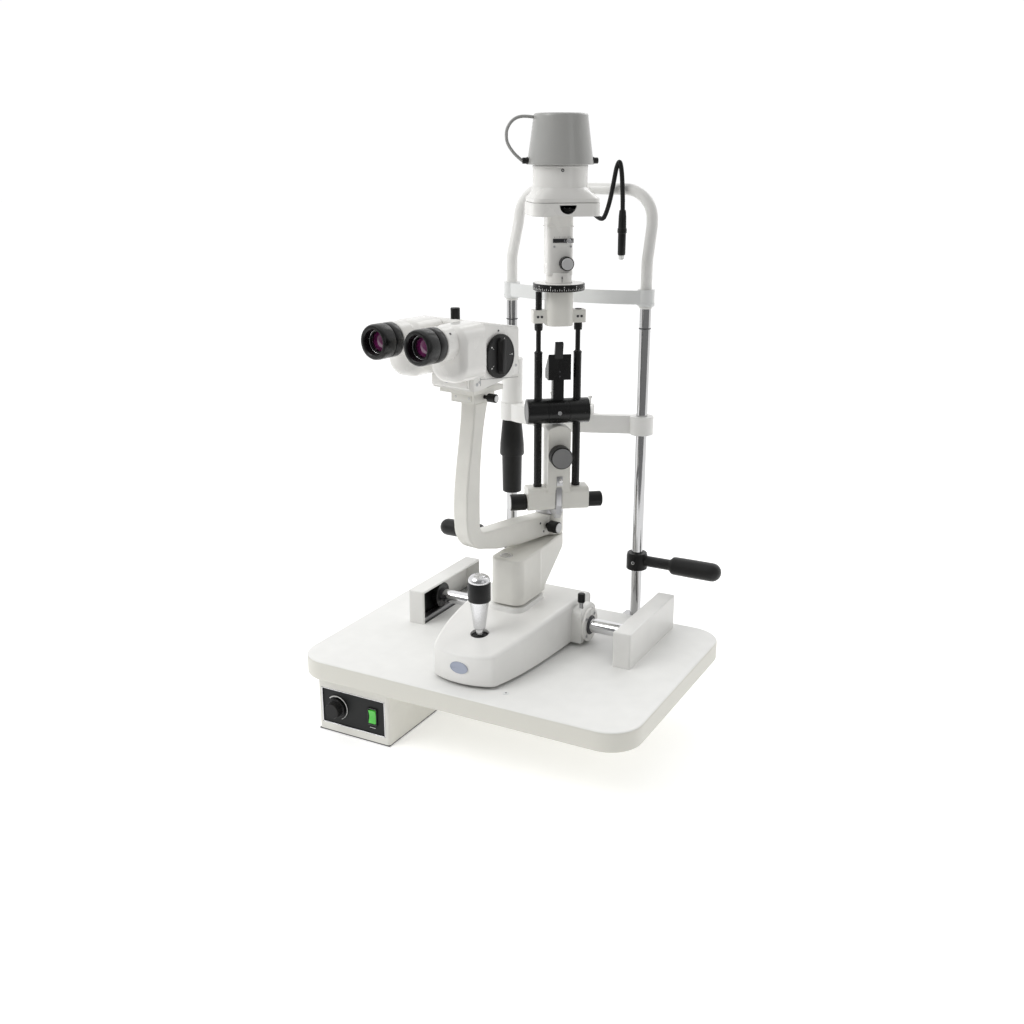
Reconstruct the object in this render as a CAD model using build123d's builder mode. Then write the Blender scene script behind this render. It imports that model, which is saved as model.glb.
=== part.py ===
"""Slit lamp biomicroscope on its table top, one named solid or group per real piece.

Frame: origin at the centre of the table top's underside, +Z up, -Y towards the
examiner, +Y towards the patient, +X to the examiner's right. Millimetres.
"""
import math
import os

from build123d import *

os.makedirs("parts", exist_ok=True)

# ---------------------------------------------------------------- driving dimensions
BOARD_WIDTH = 502
BOARD_DEPTH = 361
BOARD_THICK = 28
BOARD_CORNER = 45
MOUNT_PITCH = 160
MOUNT_HOLE_R = 3.4
MOUNT_HOLE_DEPTH = 18

POST_X = 106
POST_Y = 189.2
POST_R = 8

AXLE_Y = 58
AXLE_Z = 54.5
AXLE_R = 10
PINION_R = 18.6
PINION_TEETH = 40

PIVOT_Y = 107
SCOPE_ANGLE = -9.7
LAMP_ANGLE = 38
TOWER_R = 47

SLIP = 0.06
GAP = 0.4

SCOPE = Location((0, PIVOT_Y, 0), (0, 0, SCOPE_ANGLE))
LAMP = Location((0, PIVOT_Y, 0), (0, 0, LAMP_ANGLE))
TOWER = LAMP * Location((0, -TOWER_R, 0))
TOWER_AXIS = Axis(TOWER.position, (0, 0, 1))


def on(frame, plane):
    """The same plane, carried into one of the swung frames."""
    return Plane(frame * plane.location)


# ---------------------------------------------------------------- table top and rails
with BuildPart() as table_board:
    with BuildSketch(Plane.XY):
        RectangleRounded(BOARD_WIDTH, BOARD_DEPTH, BOARD_CORNER)
    extrude(amount=BOARD_THICK)
    fillet(table_board.faces().sort_by(Axis.Z)[-1].edges(), radius=3)
    fillet(table_board.faces().sort_by(Axis.Z)[0].edges(), radius=3)
    with Locations(Plane.XY):
        with GridLocations(MOUNT_PITCH, MOUNT_PITCH, 2, 2):
            Cylinder(MOUNT_HOLE_R, MOUNT_HOLE_DEPTH, align=(Align.CENTER, Align.CENTER, Align.MIN),
                     mode=Mode.SUBTRACT)
table_board.part.label = "table_board"
export_step(table_board.part, "parts/table_board.step")

COVER_IN = 151
COVER_OUT = 177
COVER_FRONT = -2
COVER_REAR = 165
COVER_TOP = 79
COVER_WALL = 3

for side, sign in (("right", 1), ("left", -1)):
    centre_x = sign * (COVER_IN + COVER_OUT) / 2
    centre_y = (COVER_FRONT + COVER_REAR) / 2
    hollow_width = COVER_OUT - COVER_IN - COVER_WALL
    with BuildPart() as rail_cover:
        with BuildSketch(Plane.XY.offset(BOARD_THICK)):
            with Locations((centre_x, centre_y)):
                Rectangle(COVER_OUT - COVER_IN, COVER_REAR - COVER_FRONT)
        extrude(amount=COVER_TOP - BOARD_THICK)
        fillet(rail_cover.edges().filter_by(Axis.Z), radius=2.5)
        fillet(rail_cover.faces().sort_by(Axis.Z)[-1].edges(), radius=2.2)
        with BuildSketch(Plane.XY.offset(BOARD_THICK)):
            with Locations((sign * (COVER_IN + hollow_width / 2), centre_y)):
                Rectangle(hollow_width, COVER_REAR - COVER_FRONT - 2 * COVER_WALL)
        extrude(amount=COVER_TOP - BOARD_THICK - COVER_WALL, mode=Mode.SUBTRACT)
    rail_cover.part.label = f"{side}_rail_cover"
    export_step(rail_cover.part, f"parts/{side}_rail_cover.step")

RACK_TOP = AXLE_Z - PINION_R - GAP
RACK_GROOVE = 1.6
RACK_X = 159
RACK_WIDTH = 10
RACK_PITCH = 4

with BuildPart() as racks:
    for sign in (1, -1):
        with BuildSketch(Plane.XY.offset(BOARD_THICK)):
            with Locations((sign * RACK_X, centre_y)):
                Rectangle(RACK_WIDTH, 152)
        extrude(amount=RACK_TOP - BOARD_THICK)
        with BuildSketch(Plane.YZ.offset(sign * RACK_X)):
            with Locations((centre_y, RACK_TOP)):
                with GridLocations(RACK_PITCH, 1, 37, 1):
                    Rectangle(RACK_PITCH / 2, 2 * RACK_GROOVE)
        extrude(amount=RACK_WIDTH, both=True, mode=Mode.SUBTRACT)
racks.part.label = "racks"
export_step(racks.part, "parts/racks.step")

# ---------------------------------------------------------------- power unit under the table
BOX_X0 = -224
BOX_X1 = -106
BOX_Y0 = -165
BOX_Y1 = 35
BOX_BOTTOM = -83
BOX_WALL = 3
PANEL_HEIGHT = 54
PANEL_WIDTH = 106
PANEL_Z = -44
box_x = (BOX_X0 + BOX_X1) / 2
box_y = (BOX_Y0 + BOX_Y1) / 2

with BuildPart() as power_box_case:
    with BuildSketch(Plane.XY.offset(BOX_BOTTOM)):
        with Locations((box_x, box_y)):
            Rectangle(BOX_X1 - BOX_X0, BOX_Y1 - BOX_Y0)
    extrude(amount=-BOX_BOTTOM)
    fillet(power_box_case.edges().filter_by(Axis.Z), radius=4)
    fillet(power_box_case.faces().sort_by(Axis.Z)[0].edges(), radius=2)
    with BuildSketch(Plane.XY.offset(BOX_BOTTOM + BOX_WALL)):
        with Locations((box_x, box_y)):
            RectangleRounded(BOX_X1 - BOX_X0 - 2 * BOX_WALL, BOX_Y1 - BOX_Y0 - 2 * BOX_WALL, 2)
    extrude(amount=-BOX_BOTTOM - 2 * BOX_WALL, mode=Mode.SUBTRACT)
    with BuildSketch(Plane.XZ.offset(-BOX_Y0)):
        with Locations((box_x, PANEL_Z)):
            Rectangle(PANEL_WIDTH, PANEL_HEIGHT)
    extrude(amount=-BOX_WALL, mode=Mode.SUBTRACT)
    with BuildSketch(Plane.XZ.offset(-BOX_Y1)):
        with Locations((box_x, PANEL_Z)):
            Rectangle(28, 24)
    extrude(amount=BOX_WALL, mode=Mode.SUBTRACT)
power_box_case.part.label = "power_box_case"
export_step(power_box_case.part, "parts/power_box_case.step")

DIMMER_X = box_x - 27
ROCKER_X = box_x + 32
ROCKER_WIDTH = 11
ROCKER_HEIGHT = 21

with BuildPart() as power_box_panel:
    with BuildSketch(Plane.XZ.offset(-BOX_Y0 - BOX_WALL)):
        with Locations((box_x, PANEL_Z)):
            Rectangle(PANEL_WIDTH + 2, PANEL_HEIGHT + 2)
    extrude(amount=-2)
    with BuildSketch(Plane.XZ.offset(-BOX_Y0 - BOX_WALL)):
        with Locations((box_x, PANEL_Z)):
            Rectangle(PANEL_WIDTH - 0.4, PANEL_HEIGHT - 0.4)
    extrude(amount=BOX_WALL - 1.2)
    with Locations((DIMMER_X, BOX_Y0 + BOX_WALL, PANEL_Z)):
        Cylinder(4.2, 20, rotation=(90, 0, 0), mode=Mode.SUBTRACT)
    with Locations((ROCKER_X, BOX_Y0 + BOX_WALL, PANEL_Z)):
        Box(ROCKER_WIDTH + 1, 20, ROCKER_HEIGHT + 1, mode=Mode.SUBTRACT)
power_box_panel.part.label = "power_box_panel"
export_step(power_box_panel.part, "parts/power_box_panel.step")

with BuildPart() as dimmer_knob:
    with BuildSketch(Plane.XZ.offset(-BOX_Y0 - 0.9)):
        with Locations((DIMMER_X, PANEL_Z)):
            Circle(13.5)
    extrude(amount=3)
    with BuildSketch(Plane.XZ.offset(-BOX_Y0 + 2.1)):
        with Locations((DIMMER_X, PANEL_Z)):
            Circle(11.5)
    extrude(amount=11, taper=4)
    with Locations((DIMMER_X, BOX_Y0 + 6, PANEL_Z)):
        Cylinder(3.6, 14, rotation=(90, 0, 0))
dimmer_knob.part.label = "dimmer_knob"
export_step(dimmer_knob.part, "parts/dimmer_knob.step")

with BuildPart() as rocker_switch:
    with BuildSketch(Plane.YZ.offset(ROCKER_X)):
        with BuildLine():
            Polyline((BOX_Y0 + 9, PANEL_Z - 7), (BOX_Y0 - 1.5, PANEL_Z - 9.5), (BOX_Y0 + 0.5, PANEL_Z),
                     (BOX_Y0 - 1.5, PANEL_Z + 9.5), (BOX_Y0 + 9, PANEL_Z + 7), close=True)
        make_face()
    extrude(amount=ROCKER_WIDTH / 2, both=True)
rocker_switch.part.label = "rocker_switch"
export_step(rocker_switch.part, "parts/rocker_switch.step")

with BuildPart() as transformer:
    with Locations((box_x, -40, -60)):
        Box(66, 54, 40)
    with Locations((box_x, -40, -46.5)):
        Box(46, 78, 20)
transformer.part.label = "transformer"
export_step(transformer.part, "parts/transformer.step")

with BuildPart() as mains_inlet:
    with Locations((box_x, BOX_Y1 - 8, PANEL_Z)):
        Box(27.6, 22, 23.6)
    with Locations((box_x, BOX_Y1 + 1.1, PANEL_Z)):
        Box(34, 2, 30)
    with Locations((box_x, BOX_Y1 - 5, PANEL_Z)):
        Box(22, 20, 15, mode=Mode.SUBTRACT)
    with Locations((box_x - 7, BOX_Y1 - 7, PANEL_Z), (box_x + 7, BOX_Y1 - 7, PANEL_Z), (box_x, BOX_Y1 - 7, PANEL_Z + 3)):
        Box(2, 16, 4)
mains_inlet.part.label = "mains_inlet"
export_step(mains_inlet.part, "parts/mains_inlet.step")

# ---------------------------------------------------------------- axle and its wheels
SHOE_IN = 167
SHOE_OUT = 172
SHOE_TOP = 73
SHOE_FRONT = 6

with BuildPart() as axle_bearings:
    for sign in (1, -1):
        with BuildSketch(Plane.YZ.offset(sign * (SHOE_IN + SHOE_OUT) / 2)):
            with BuildLine():
                Line((SHOE_FRONT, 30), (AXLE_Y, 30))
                Line((SHOE_FRONT, 30), (SHOE_FRONT, SHOE_TOP))
                Line((SHOE_FRONT, SHOE_TOP), (AXLE_Y, SHOE_TOP))
                ThreePointArc((AXLE_Y, SHOE_TOP), (AXLE_Y + 21.5, (SHOE_TOP + 30) / 2), (AXLE_Y, 30))
            make_face()
            with Locations((AXLE_Y, AXLE_Z)):
                Circle(AXLE_R - 3 + SLIP, mode=Mode.SUBTRACT)
        extrude(amount=(SHOE_OUT - SHOE_IN) / 2, both=True)
axle_bearings.part.label = "axle_bearings"
export_step(axle_bearings.part, "parts/axle_bearings.step")

with BuildPart() as axle_shaft:
    with Locations((0, AXLE_Y, AXLE_Z)):
        Cylinder(AXLE_R, 2 * 152, rotation=(0, 90, 0))
        Cylinder(AXLE_R - 3, 2 * 171.5, rotation=(0, 90, 0))
axle_shaft.part.label = "axle_shaft"
export_step(axle_shaft.part, "parts/axle_shaft.step")

with BuildPart() as axle_pinions:
    for sign in (1, -1):
        with BuildSketch(Plane.YZ.offset(sign * RACK_X)):
            with Locations((AXLE_Y, AXLE_Z)):
                Circle(PINION_R)
                with PolarLocations(PINION_R, PINION_TEETH):
                    Rectangle(2, 1.2, mode=Mode.SUBTRACT)
                Circle(AXLE_R - 3, mode=Mode.SUBTRACT)
        extrude(amount=RACK_WIDTH / 2 - 0.5, both=True)
axle_pinions.part.label = "axle_pinions"
export_step(axle_pinions.part, "parts/axle_pinions.step")

# ---------------------------------------------------------------- travelling base
BASE_BOTTOM = 33
BASE_REAR = 100
WING_X = 87
WING_FRONT = 35
WING_REAR = 82
WING_TOP = 82
JOY_Y = -99
JOY_HOLE_R = 12.5
COLUMN_Y = 8
GUIDE_R = 15
SHELL = 4
BUSH_R = 14
FLANGE_R = 24
LOCK_X = 80
LOCK_Y = 50


def base_outline(inset):
    """Plan of the base: bowed front, tight front corners, flaring sides, square tail."""
    with BuildSketch() as plan:
        with BuildLine():
            front = ThreePointArc((-46 + inset, -142.5 + inset), (0, -154 + inset), (46 - inset, -142.5 + inset))
            side = Spline(front @ 1, (58.5 - inset, -95), (66 - inset, -40), (71.5 - inset, WING_FRONT),
                          tangents=((0.32, 0.95), (0.06, 1)))
            tail = Polyline(side @ 1, (71.5 - inset, BASE_REAR - inset), (0, BASE_REAR - inset))
            mirror(side, about=Plane.YZ)
            mirror(tail, about=Plane.YZ)
        make_face()
        fillet(plan.vertices().filter_by(lambda corner: corner.Y < -130), radius=11 - inset)
    return plan.sketch


def base_profile(drop):
    """Side view of the sloping top, from the low front edge to the tail."""
    with BuildSketch() as profile:
        with BuildLine():
            crown = ThreePointArc((-160, 72 - drop), (-40, 89 - drop), (105, 87 - drop))
            Polyline(crown @ 1, (105, 0), (-160, 0), crown @ 0)
        make_face()
    return profile.sketch


with BuildPart() as base_core:
    with BuildSketch(Plane.XY.offset(BASE_BOTTOM - 3)):
        add(base_outline(SHELL))
    extrude(amount=80)
    with BuildSketch(Plane.YZ):
        add(base_profile(SHELL))
    extrude(amount=100, both=True, mode=Mode.INTERSECT)

with BuildPart() as base_cover:
    with BuildSketch(Plane.XY.offset(BASE_BOTTOM)):
        add(base_outline(0))
    extrude(amount=80)
    with BuildSketch(Plane.YZ):
        add(base_profile(0))
    extrude(amount=100, both=True, mode=Mode.INTERSECT)
    fillet(base_cover.faces().sort_by(Axis.Z)[-1].edges(), radius=6)
    with BuildSketch(Plane.XY.offset(BASE_BOTTOM)):
        with Locations((0, (WING_FRONT + WING_REAR) / 2)):
            Rectangle(2 * WING_X, WING_REAR - WING_FRONT)
    extrude(amount=WING_TOP - BASE_BOTTOM)
    fillet(base_cover.edges().filter_by(lambda edge: edge.center().Z > WING_TOP - 1 and abs(edge.center().X) > 71.6
                                        and edge.center().Z < WING_TOP + 0.1), radius=9)
    with BuildSketch(Plane.XY.offset(80)):
        with Locations((0, COLUMN_Y)):
            RectangleRounded(58, 84, 18)
    extrude(amount=16.5, taper=8)
    add(base_core.part, mode=Mode.SUBTRACT)
    with Locations((0, AXLE_Y, AXLE_Z)):
        Cylinder(BUSH_R, 2 * WING_X + 2, rotation=(0, 90, 0), mode=Mode.SUBTRACT)
    with Locations((LOCK_X, LOCK_Y, 82)):
        Cylinder(3, 18, mode=Mode.SUBTRACT)
    with Locations((0, JOY_Y, 80)):
        Cylinder(JOY_HOLE_R, 30, mode=Mode.SUBTRACT)
    with Locations((0, COLUMN_Y, 90)):
        Cylinder(GUIDE_R + 0.5, 30, mode=Mode.SUBTRACT)
base_cover.part.label = "base_cover"
export_step(base_cover.part, "parts/base_cover.step")

with BuildPart() as base_plate:
    with BuildSketch(Plane.XY.offset(BASE_BOTTOM + 1)):
        add(base_outline(SHELL + 0.4))
    extrude(amount=5)
    with BuildSketch(Plane.XY.offset(BASE_BOTTOM + 6)):
        with Locations((0, COLUMN_Y)):
            RectangleRounded(60, 60, 8)
    extrude(amount=4)
    with Locations((0, COLUMN_Y, BASE_BOTTOM)):
        Cylinder(GUIDE_R + SLIP, 40, mode=Mode.SUBTRACT)
    with Locations((0, JOY_Y, BOARD_THICK + GAP)):
        Cylinder(14, 8, align=(Align.CENTER, Align.CENTER, Align.MIN))
    with Locations((0, JOY_Y, BASE_BOTTOM + 6)):
        Cylinder(17, 6, align=(Align.CENTER, Align.CENTER, Align.MIN))
    with Locations((0, JOY_Y, BASE_BOTTOM + 16)):
        Sphere(10.4, mode=Mode.SUBTRACT)
base_plate.part.label = "base_plate"
export_step(base_plate.part, "parts/base_plate.step")


with BuildPart() as axle_bushes:
    for sign in (1, -1):
        with Locations((sign * (WING_X + 2.1), AXLE_Y, AXLE_Z)):
            Cylinder(FLANGE_R, 4, rotation=(0, 90, 0))
        with Locations((sign * (WING_X - 7), AXLE_Y, AXLE_Z)):
            Cylinder(BUSH_R - 0.03, 15, rotation=(0, 90, 0))
    with Locations((0, AXLE_Y, AXLE_Z)):
        Cylinder(AXLE_R + SLIP, 2 * WING_X + 20, rotation=(0, 90, 0), mode=Mode.SUBTRACT)
axle_bushes.part.label = "axle_bushes"
export_step(axle_bushes.part, "parts/axle_bushes.step")

with BuildPart() as base_lock_knob:
    with Locations((LOCK_X, LOCK_Y, 74)):
        Cylinder(2.9, 18, align=(Align.CENTER, Align.CENTER, Align.MIN))
    with Locations((LOCK_X, LOCK_Y, 89)):
        Cylinder(5.3, 14, align=(Align.CENTER, Align.CENTER, Align.MIN))
    fillet(base_lock_knob.faces().sort_by(Axis.Z)[-1].edges(), radius=1.2)
base_lock_knob.part.label = "base_lock_knob"
export_step(base_lock_knob.part, "parts/base_lock_knob.step")

with BuildPart() as column_guide:
    with Locations((0, COLUMN_Y, BASE_BOTTOM + 1)):
        Cylinder(GUIDE_R, 124, align=(Align.CENTER, Align.CENTER, Align.MIN))
        Cylinder(8, 124, align=(Align.CENTER, Align.CENTER, Align.MIN), mode=Mode.SUBTRACT)
        Cylinder(5, 118, align=(Align.CENTER, Align.CENTER, Align.MIN))
column_guide.part.label = "column_guide"
export_step(column_guide.part, "parts/column_guide.step")

# ---------------------------------------------------------------- joystick
BALL_Z = BASE_BOTTOM + 16
STEM_TOP = 112
GRIP_BOTTOM = 90
GRIP_TOP = 166.5
BAND_BOTTOM = 129.9
BAND_TOP = 155.9

with BuildPart() as joystick_ball:
    with Locations((0, JOY_Y, BALL_Z)):
        Sphere(10)
    with Locations((0, JOY_Y, BALL_Z - 5.4)):
        Box(15, 10.2, 30, align=(Align.CENTER, Align.CENTER, Align.MIN), mode=Mode.SUBTRACT)
joystick_ball.part.label = "joystick_ball"
export_step(joystick_ball.part, "parts/joystick_ball.step")

with BuildPart() as joystick_stem:
    with Locations((0, JOY_Y, BALL_Z)):
        Sphere(5)
        Cylinder(5, STEM_TOP - BALL_Z, align=(Align.CENTER, Align.CENTER, Align.MIN))
joystick_stem.part.label = "joystick_stem"
export_step(joystick_stem.part, "parts/joystick_stem.step")

with BuildPart() as joystick_grip:
    with BuildSketch(Plane.XZ.offset(-JOY_Y)):
        with BuildLine():
            Polyline((0, GRIP_TOP), (0, GRIP_BOTTOM), (8, GRIP_BOTTOM), (8.6, GRIP_BOTTOM + 5),
                     (12.8, BAND_BOTTOM), (12.8, BAND_TOP), (14.6, BAND_TOP), (14.6, BAND_TOP + 3))
            ThreePointArc((14.6, BAND_TOP + 3), (12.6, BAND_TOP + 7.2), (8, GRIP_TOP - 0.8))
            Line((8, GRIP_TOP - 0.8), (0, GRIP_TOP))
        make_face()
    revolve(axis=Axis((0, JOY_Y, 0), (0, 0, 1)))
    with Locations((0, JOY_Y, GRIP_BOTTOM)):
        Cylinder(5.1, STEM_TOP - GRIP_BOTTOM + 0.5, align=(Align.CENTER, Align.CENTER, Align.MIN),
                 mode=Mode.SUBTRACT)
    with BuildSketch(Plane.XY.offset(BAND_BOTTOM)):
        with Locations((0, JOY_Y)):
            Circle(15.2)
            Circle(12.83, mode=Mode.SUBTRACT)
    extrude(amount=BAND_TOP - BAND_BOTTOM - 0.1)
joystick_grip.part.label = "joystick_grip"
export_step(joystick_grip.part, "parts/joystick_grip.step")

# ---------------------------------------------------------------- elevating column
COLUMN_BOTTOM = 99.8
COLUMN_TOP = 165
HUB_R = 20
SPINDLE_R = 9
SPINDLE_TOP = 213

with BuildPart() as column_bracket:
    with BuildSketch(Plane.XY.offset(COLUMN_BOTTOM)):
        with Locations((0, 7.5)):
            RectangleRounded(49, 75, 14)
        Polygon((-24.5, 22), (24.5, 22), (HUB_R, PIVOT_Y), (-HUB_R, PIVOT_Y), align=None)
        with Locations((0, PIVOT_Y)):
            Circle(HUB_R)
    extrude(amount=COLUMN_TOP - COLUMN_BOTTOM)
    with BuildSketch(Plane.YZ):
        with BuildLine():
            Polyline((-40, 90), (47, 90), (47, 105), (127.5, 155), (127.5, 175), (-40, 175), close=True)
        make_face()
    extrude(amount=40, both=True, mode=Mode.INTERSECT)
    fillet(column_bracket.faces().sort_by(Axis.Z)[-1].edges(), radius=3)
    with Locations((0, COLUMN_Y, COLUMN_BOTTOM)):
        Cylinder(GUIDE_R + SLIP, 60, align=(Align.CENTER, Align.CENTER, Align.MIN), mode=Mode.SUBTRACT)
    with Locations((-6, -13, COLUMN_TOP)):
        Cylinder(9, 2, mode=Mode.SUBTRACT)
    with Locations((0, PIVOT_Y, COLUMN_TOP - 5)):
        Cylinder(SPINDLE_R, SPINDLE_TOP - COLUMN_TOP + 5, align=(Align.CENTER, Align.CENTER, Align.MIN))
column_bracket.part.label = "column_bracket"
export_step(column_bracket.part, "parts/column_bracket.step")

# ---------------------------------------------------------------- microscope arm
ARM_HALF = 12
ARM_BOTTOM = 167
ARM_HUB_TOP = 197
ARM_TOP = 388

with BuildPart() as microscope_arm:
    with BuildSketch(on(SCOPE, Plane.YZ)):
        with BuildLine():
            Polyline((-158, 208), (-84, 204), (-10, ARM_HUB_TOP), (-10, ARM_BOTTOM), (-84, 170.5), (-135, 178),
                     (-165, 186))
            ThreePointArc((-165, 186), (-189, 199), (-198.5, 225))
            Spline((-198.5, 225), (-199, 259), (-192, 312), (-181, ARM_TOP))
            Line((-181, ARM_TOP), (-153.5, ARM_TOP))
            Spline((-153.5, ARM_TOP), (-168.5, 312), (-171.5, 259), (-171.5, 222))
            ThreePointArc((-171.5, 222), (-167.5, 212), (-158, 208))
        make_face()
    extrude(amount=ARM_HALF, both=True)
    fillet(microscope_arm.faces().filter_by(lambda face: face.area > 5000).edges(), radius=2.5)
    with Locations(SCOPE * Location((0, 0, ARM_BOTTOM))):
        Cylinder(HUB_R, ARM_HUB_TOP - ARM_BOTTOM, align=(Align.CENTER, Align.CENTER, Align.MIN))
        Cylinder(SPINDLE_R + SLIP, 60, align=(Align.CENTER, Align.CENTER, Align.CENTER), mode=Mode.SUBTRACT)
    with Locations(SCOPE * Location((8, -22, 183), (0, 90, 0))):
        Cylinder(3, 20, mode=Mode.SUBTRACT)
microscope_arm.part.label = "microscope_arm"
export_step(microscope_arm.part, "parts/microscope_arm.step")

with BuildPart() as swing_lock_knob:
    with Locations(SCOPE * Location((8.5, -22, 183), (0, 90, 0))):
        Cylinder(2.94, 20)
    with Locations(SCOPE * Location((22, -22, 183), (0, 90, 0))):
        Cylinder(8.5, 12)
    with Locations(SCOPE * Location((30, -22, 183), (0, 90, 0))):
        Cylinder(7.4, 5)
swing_lock_knob.part.label = "swing_lock_knob"
export_step(swing_lock_knob.part, "parts/swing_lock_knob.step")

# ---------------------------------------------------------------- microscope
CARRIAGE_TOP = 410
BODY_HALF = 34
BODY_FRONT = 212
BODY_REAR = 115
BODY_WALL = 4
OPTIC_Z = 449
DIAL_R = 28
DIAL_Y = -160
OBJECTIVE_T = 12
EYEPIECE_T = 35.25
EYEPIECE_Z = 478.5
EYEPIECE_FRONT = 314
HOUSING_FRONT = 262
TUBE_FRONT = 281
HOUSING_WIDTH = 57
HOUSING_HEIGHT = 70
HOUSING_Z = 464.5
KNOB_Y = -170
KNOB_Z = 396

with BuildPart() as microscope_carriage:
    with Locations(SCOPE * Location((0, -170.5, 396.4))):
        Box(38, 41, 14)
    with Locations(SCOPE * Location((0, -173, CARRIAGE_TOP - 3.4))):
        Box(56, 60, 6.6)
    with Locations(SCOPE * Location((19, KNOB_Y, KNOB_Z), (0, 90, 0))):
        Cylinder(2.6, 20, mode=Mode.SUBTRACT)
microscope_carriage.part.label = "microscope_carriage"
export_step(microscope_carriage.part, "parts/microscope_carriage.step")

with BuildPart() as carriage_knob:
    with Locations(SCOPE * Location((19, KNOB_Y, KNOB_Z), (0, 90, 0))):
        Cylinder(2.5, 18)
    with Locations(SCOPE * Location((32, KNOB_Y, KNOB_Z), (0, 90, 0))):
        Cylinder(5.6, 13)
    with Locations(SCOPE * Location((40, KNOB_Y, KNOB_Z), (0, 90, 0))):
        Cylinder(4.2, 3)
carriage_knob.part.label = "carriage_knob"
export_step(carriage_knob.part, "parts/carriage_knob.step")


def body_side(inset):
    """Side view of the microscope body, tapering towards the patient."""
    with BuildSketch() as side_view:
        Polygon((-BODY_FRONT + inset, CARRIAGE_TOP + 0.4 + inset), (-BODY_FRONT + inset, 499 - inset),
                (-199, 497 - inset), (-BODY_REAR - inset, 481.5 - inset), (-BODY_REAR - inset, 421.6 + inset),
                (-195, CARRIAGE_TOP + 0.4 + inset), align=None)
    return side_view.sketch


with BuildPart() as body_hollow:
    with BuildSketch(on(SCOPE, Plane.YZ)):
        add(body_side(BODY_WALL))
    extrude(amount=BODY_HALF - BODY_WALL, both=True)

with BuildPart() as microscope_body:
    with BuildSketch(on(SCOPE, Plane.YZ)):
        add(body_side(0))
    extrude(amount=BODY_HALF, both=True)
    fillet(microscope_body.edges().filter_by(lambda edge: edge.center().Z > CARRIAGE_TOP + 8), radius=5)
    add(body_hollow.part, mode=Mode.SUBTRACT)
    with Locations(SCOPE * Location((BODY_HALF, DIAL_Y, OPTIC_Z), (0, 90, 0))):
        Cylinder(6 + SLIP, 12, mode=Mode.SUBTRACT)
    for sign in (1, -1):
        with Locations(SCOPE * Location((sign * OBJECTIVE_T, -BODY_REAR, OPTIC_Z), (90, 0, 0))):
            Cylinder(10, 12, mode=Mode.SUBTRACT)
        with Locations(SCOPE * Location((sign * OBJECTIVE_T, -BODY_FRONT, OPTIC_Z), (90, 0, 0))):
            Cylinder(8, 12, mode=Mode.SUBTRACT)
    with Locations(SCOPE * Location((0, -203, 493))):
        Cylinder(5.5, 18, align=(Align.CENTER, Align.CENTER, Align.MIN))
microscope_body.part.label = "microscope_body"
export_step(microscope_body.part, "parts/microscope_body.step")

with BuildPart() as magnification_dial:
    with Locations(SCOPE * Location((BODY_HALF + 2.4, DIAL_Y, OPTIC_Z), (0, 90, 0))):
        Cylinder(DIAL_R, 4)
    with Locations(SCOPE * Location((BODY_HALF + 7.4, DIAL_Y, OPTIC_Z))):
        Box(7, 10, 2 * DIAL_R - 6)
    with Locations(SCOPE * Location((BODY_HALF - 3, DIAL_Y, OPTIC_Z), (0, 90, 0))):
        Cylinder(6, 8)
magnification_dial.part.label = "magnification_dial"
export_step(magnification_dial.part, "parts/magnification_dial.step")

with BuildPart() as magnification_drum:
    with Locations(SCOPE * Location((0, DIAL_Y, OPTIC_Z), (0, 90, 0))):
        Cylinder(21, 54)
    for sign in (1, -1):
        with Locations(SCOPE * Location((sign * OBJECTIVE_T, DIAL_Y, OPTIC_Z), (90, 0, 0))):
            Cylinder(7, 60, mode=Mode.SUBTRACT)
        with Locations(SCOPE * Location((sign * OBJECTIVE_T, DIAL_Y, OPTIC_Z))):
            Cylinder(5, 60, mode=Mode.SUBTRACT)
magnification_drum.part.label = "magnification_drum"
export_step(magnification_drum.part, "parts/magnification_drum.step")

with BuildPart() as objective_lenses:
    for sign in (1, -1):
        with Locations(SCOPE * Location((sign * OBJECTIVE_T, -BODY_REAR - 2, OPTIC_Z), (90, 0, 0))):
            Cylinder(9.97, 3)
objective_lenses.part.label = "objective_lenses"
export_step(objective_lenses.part, "parts/objective_lenses.step")

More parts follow.
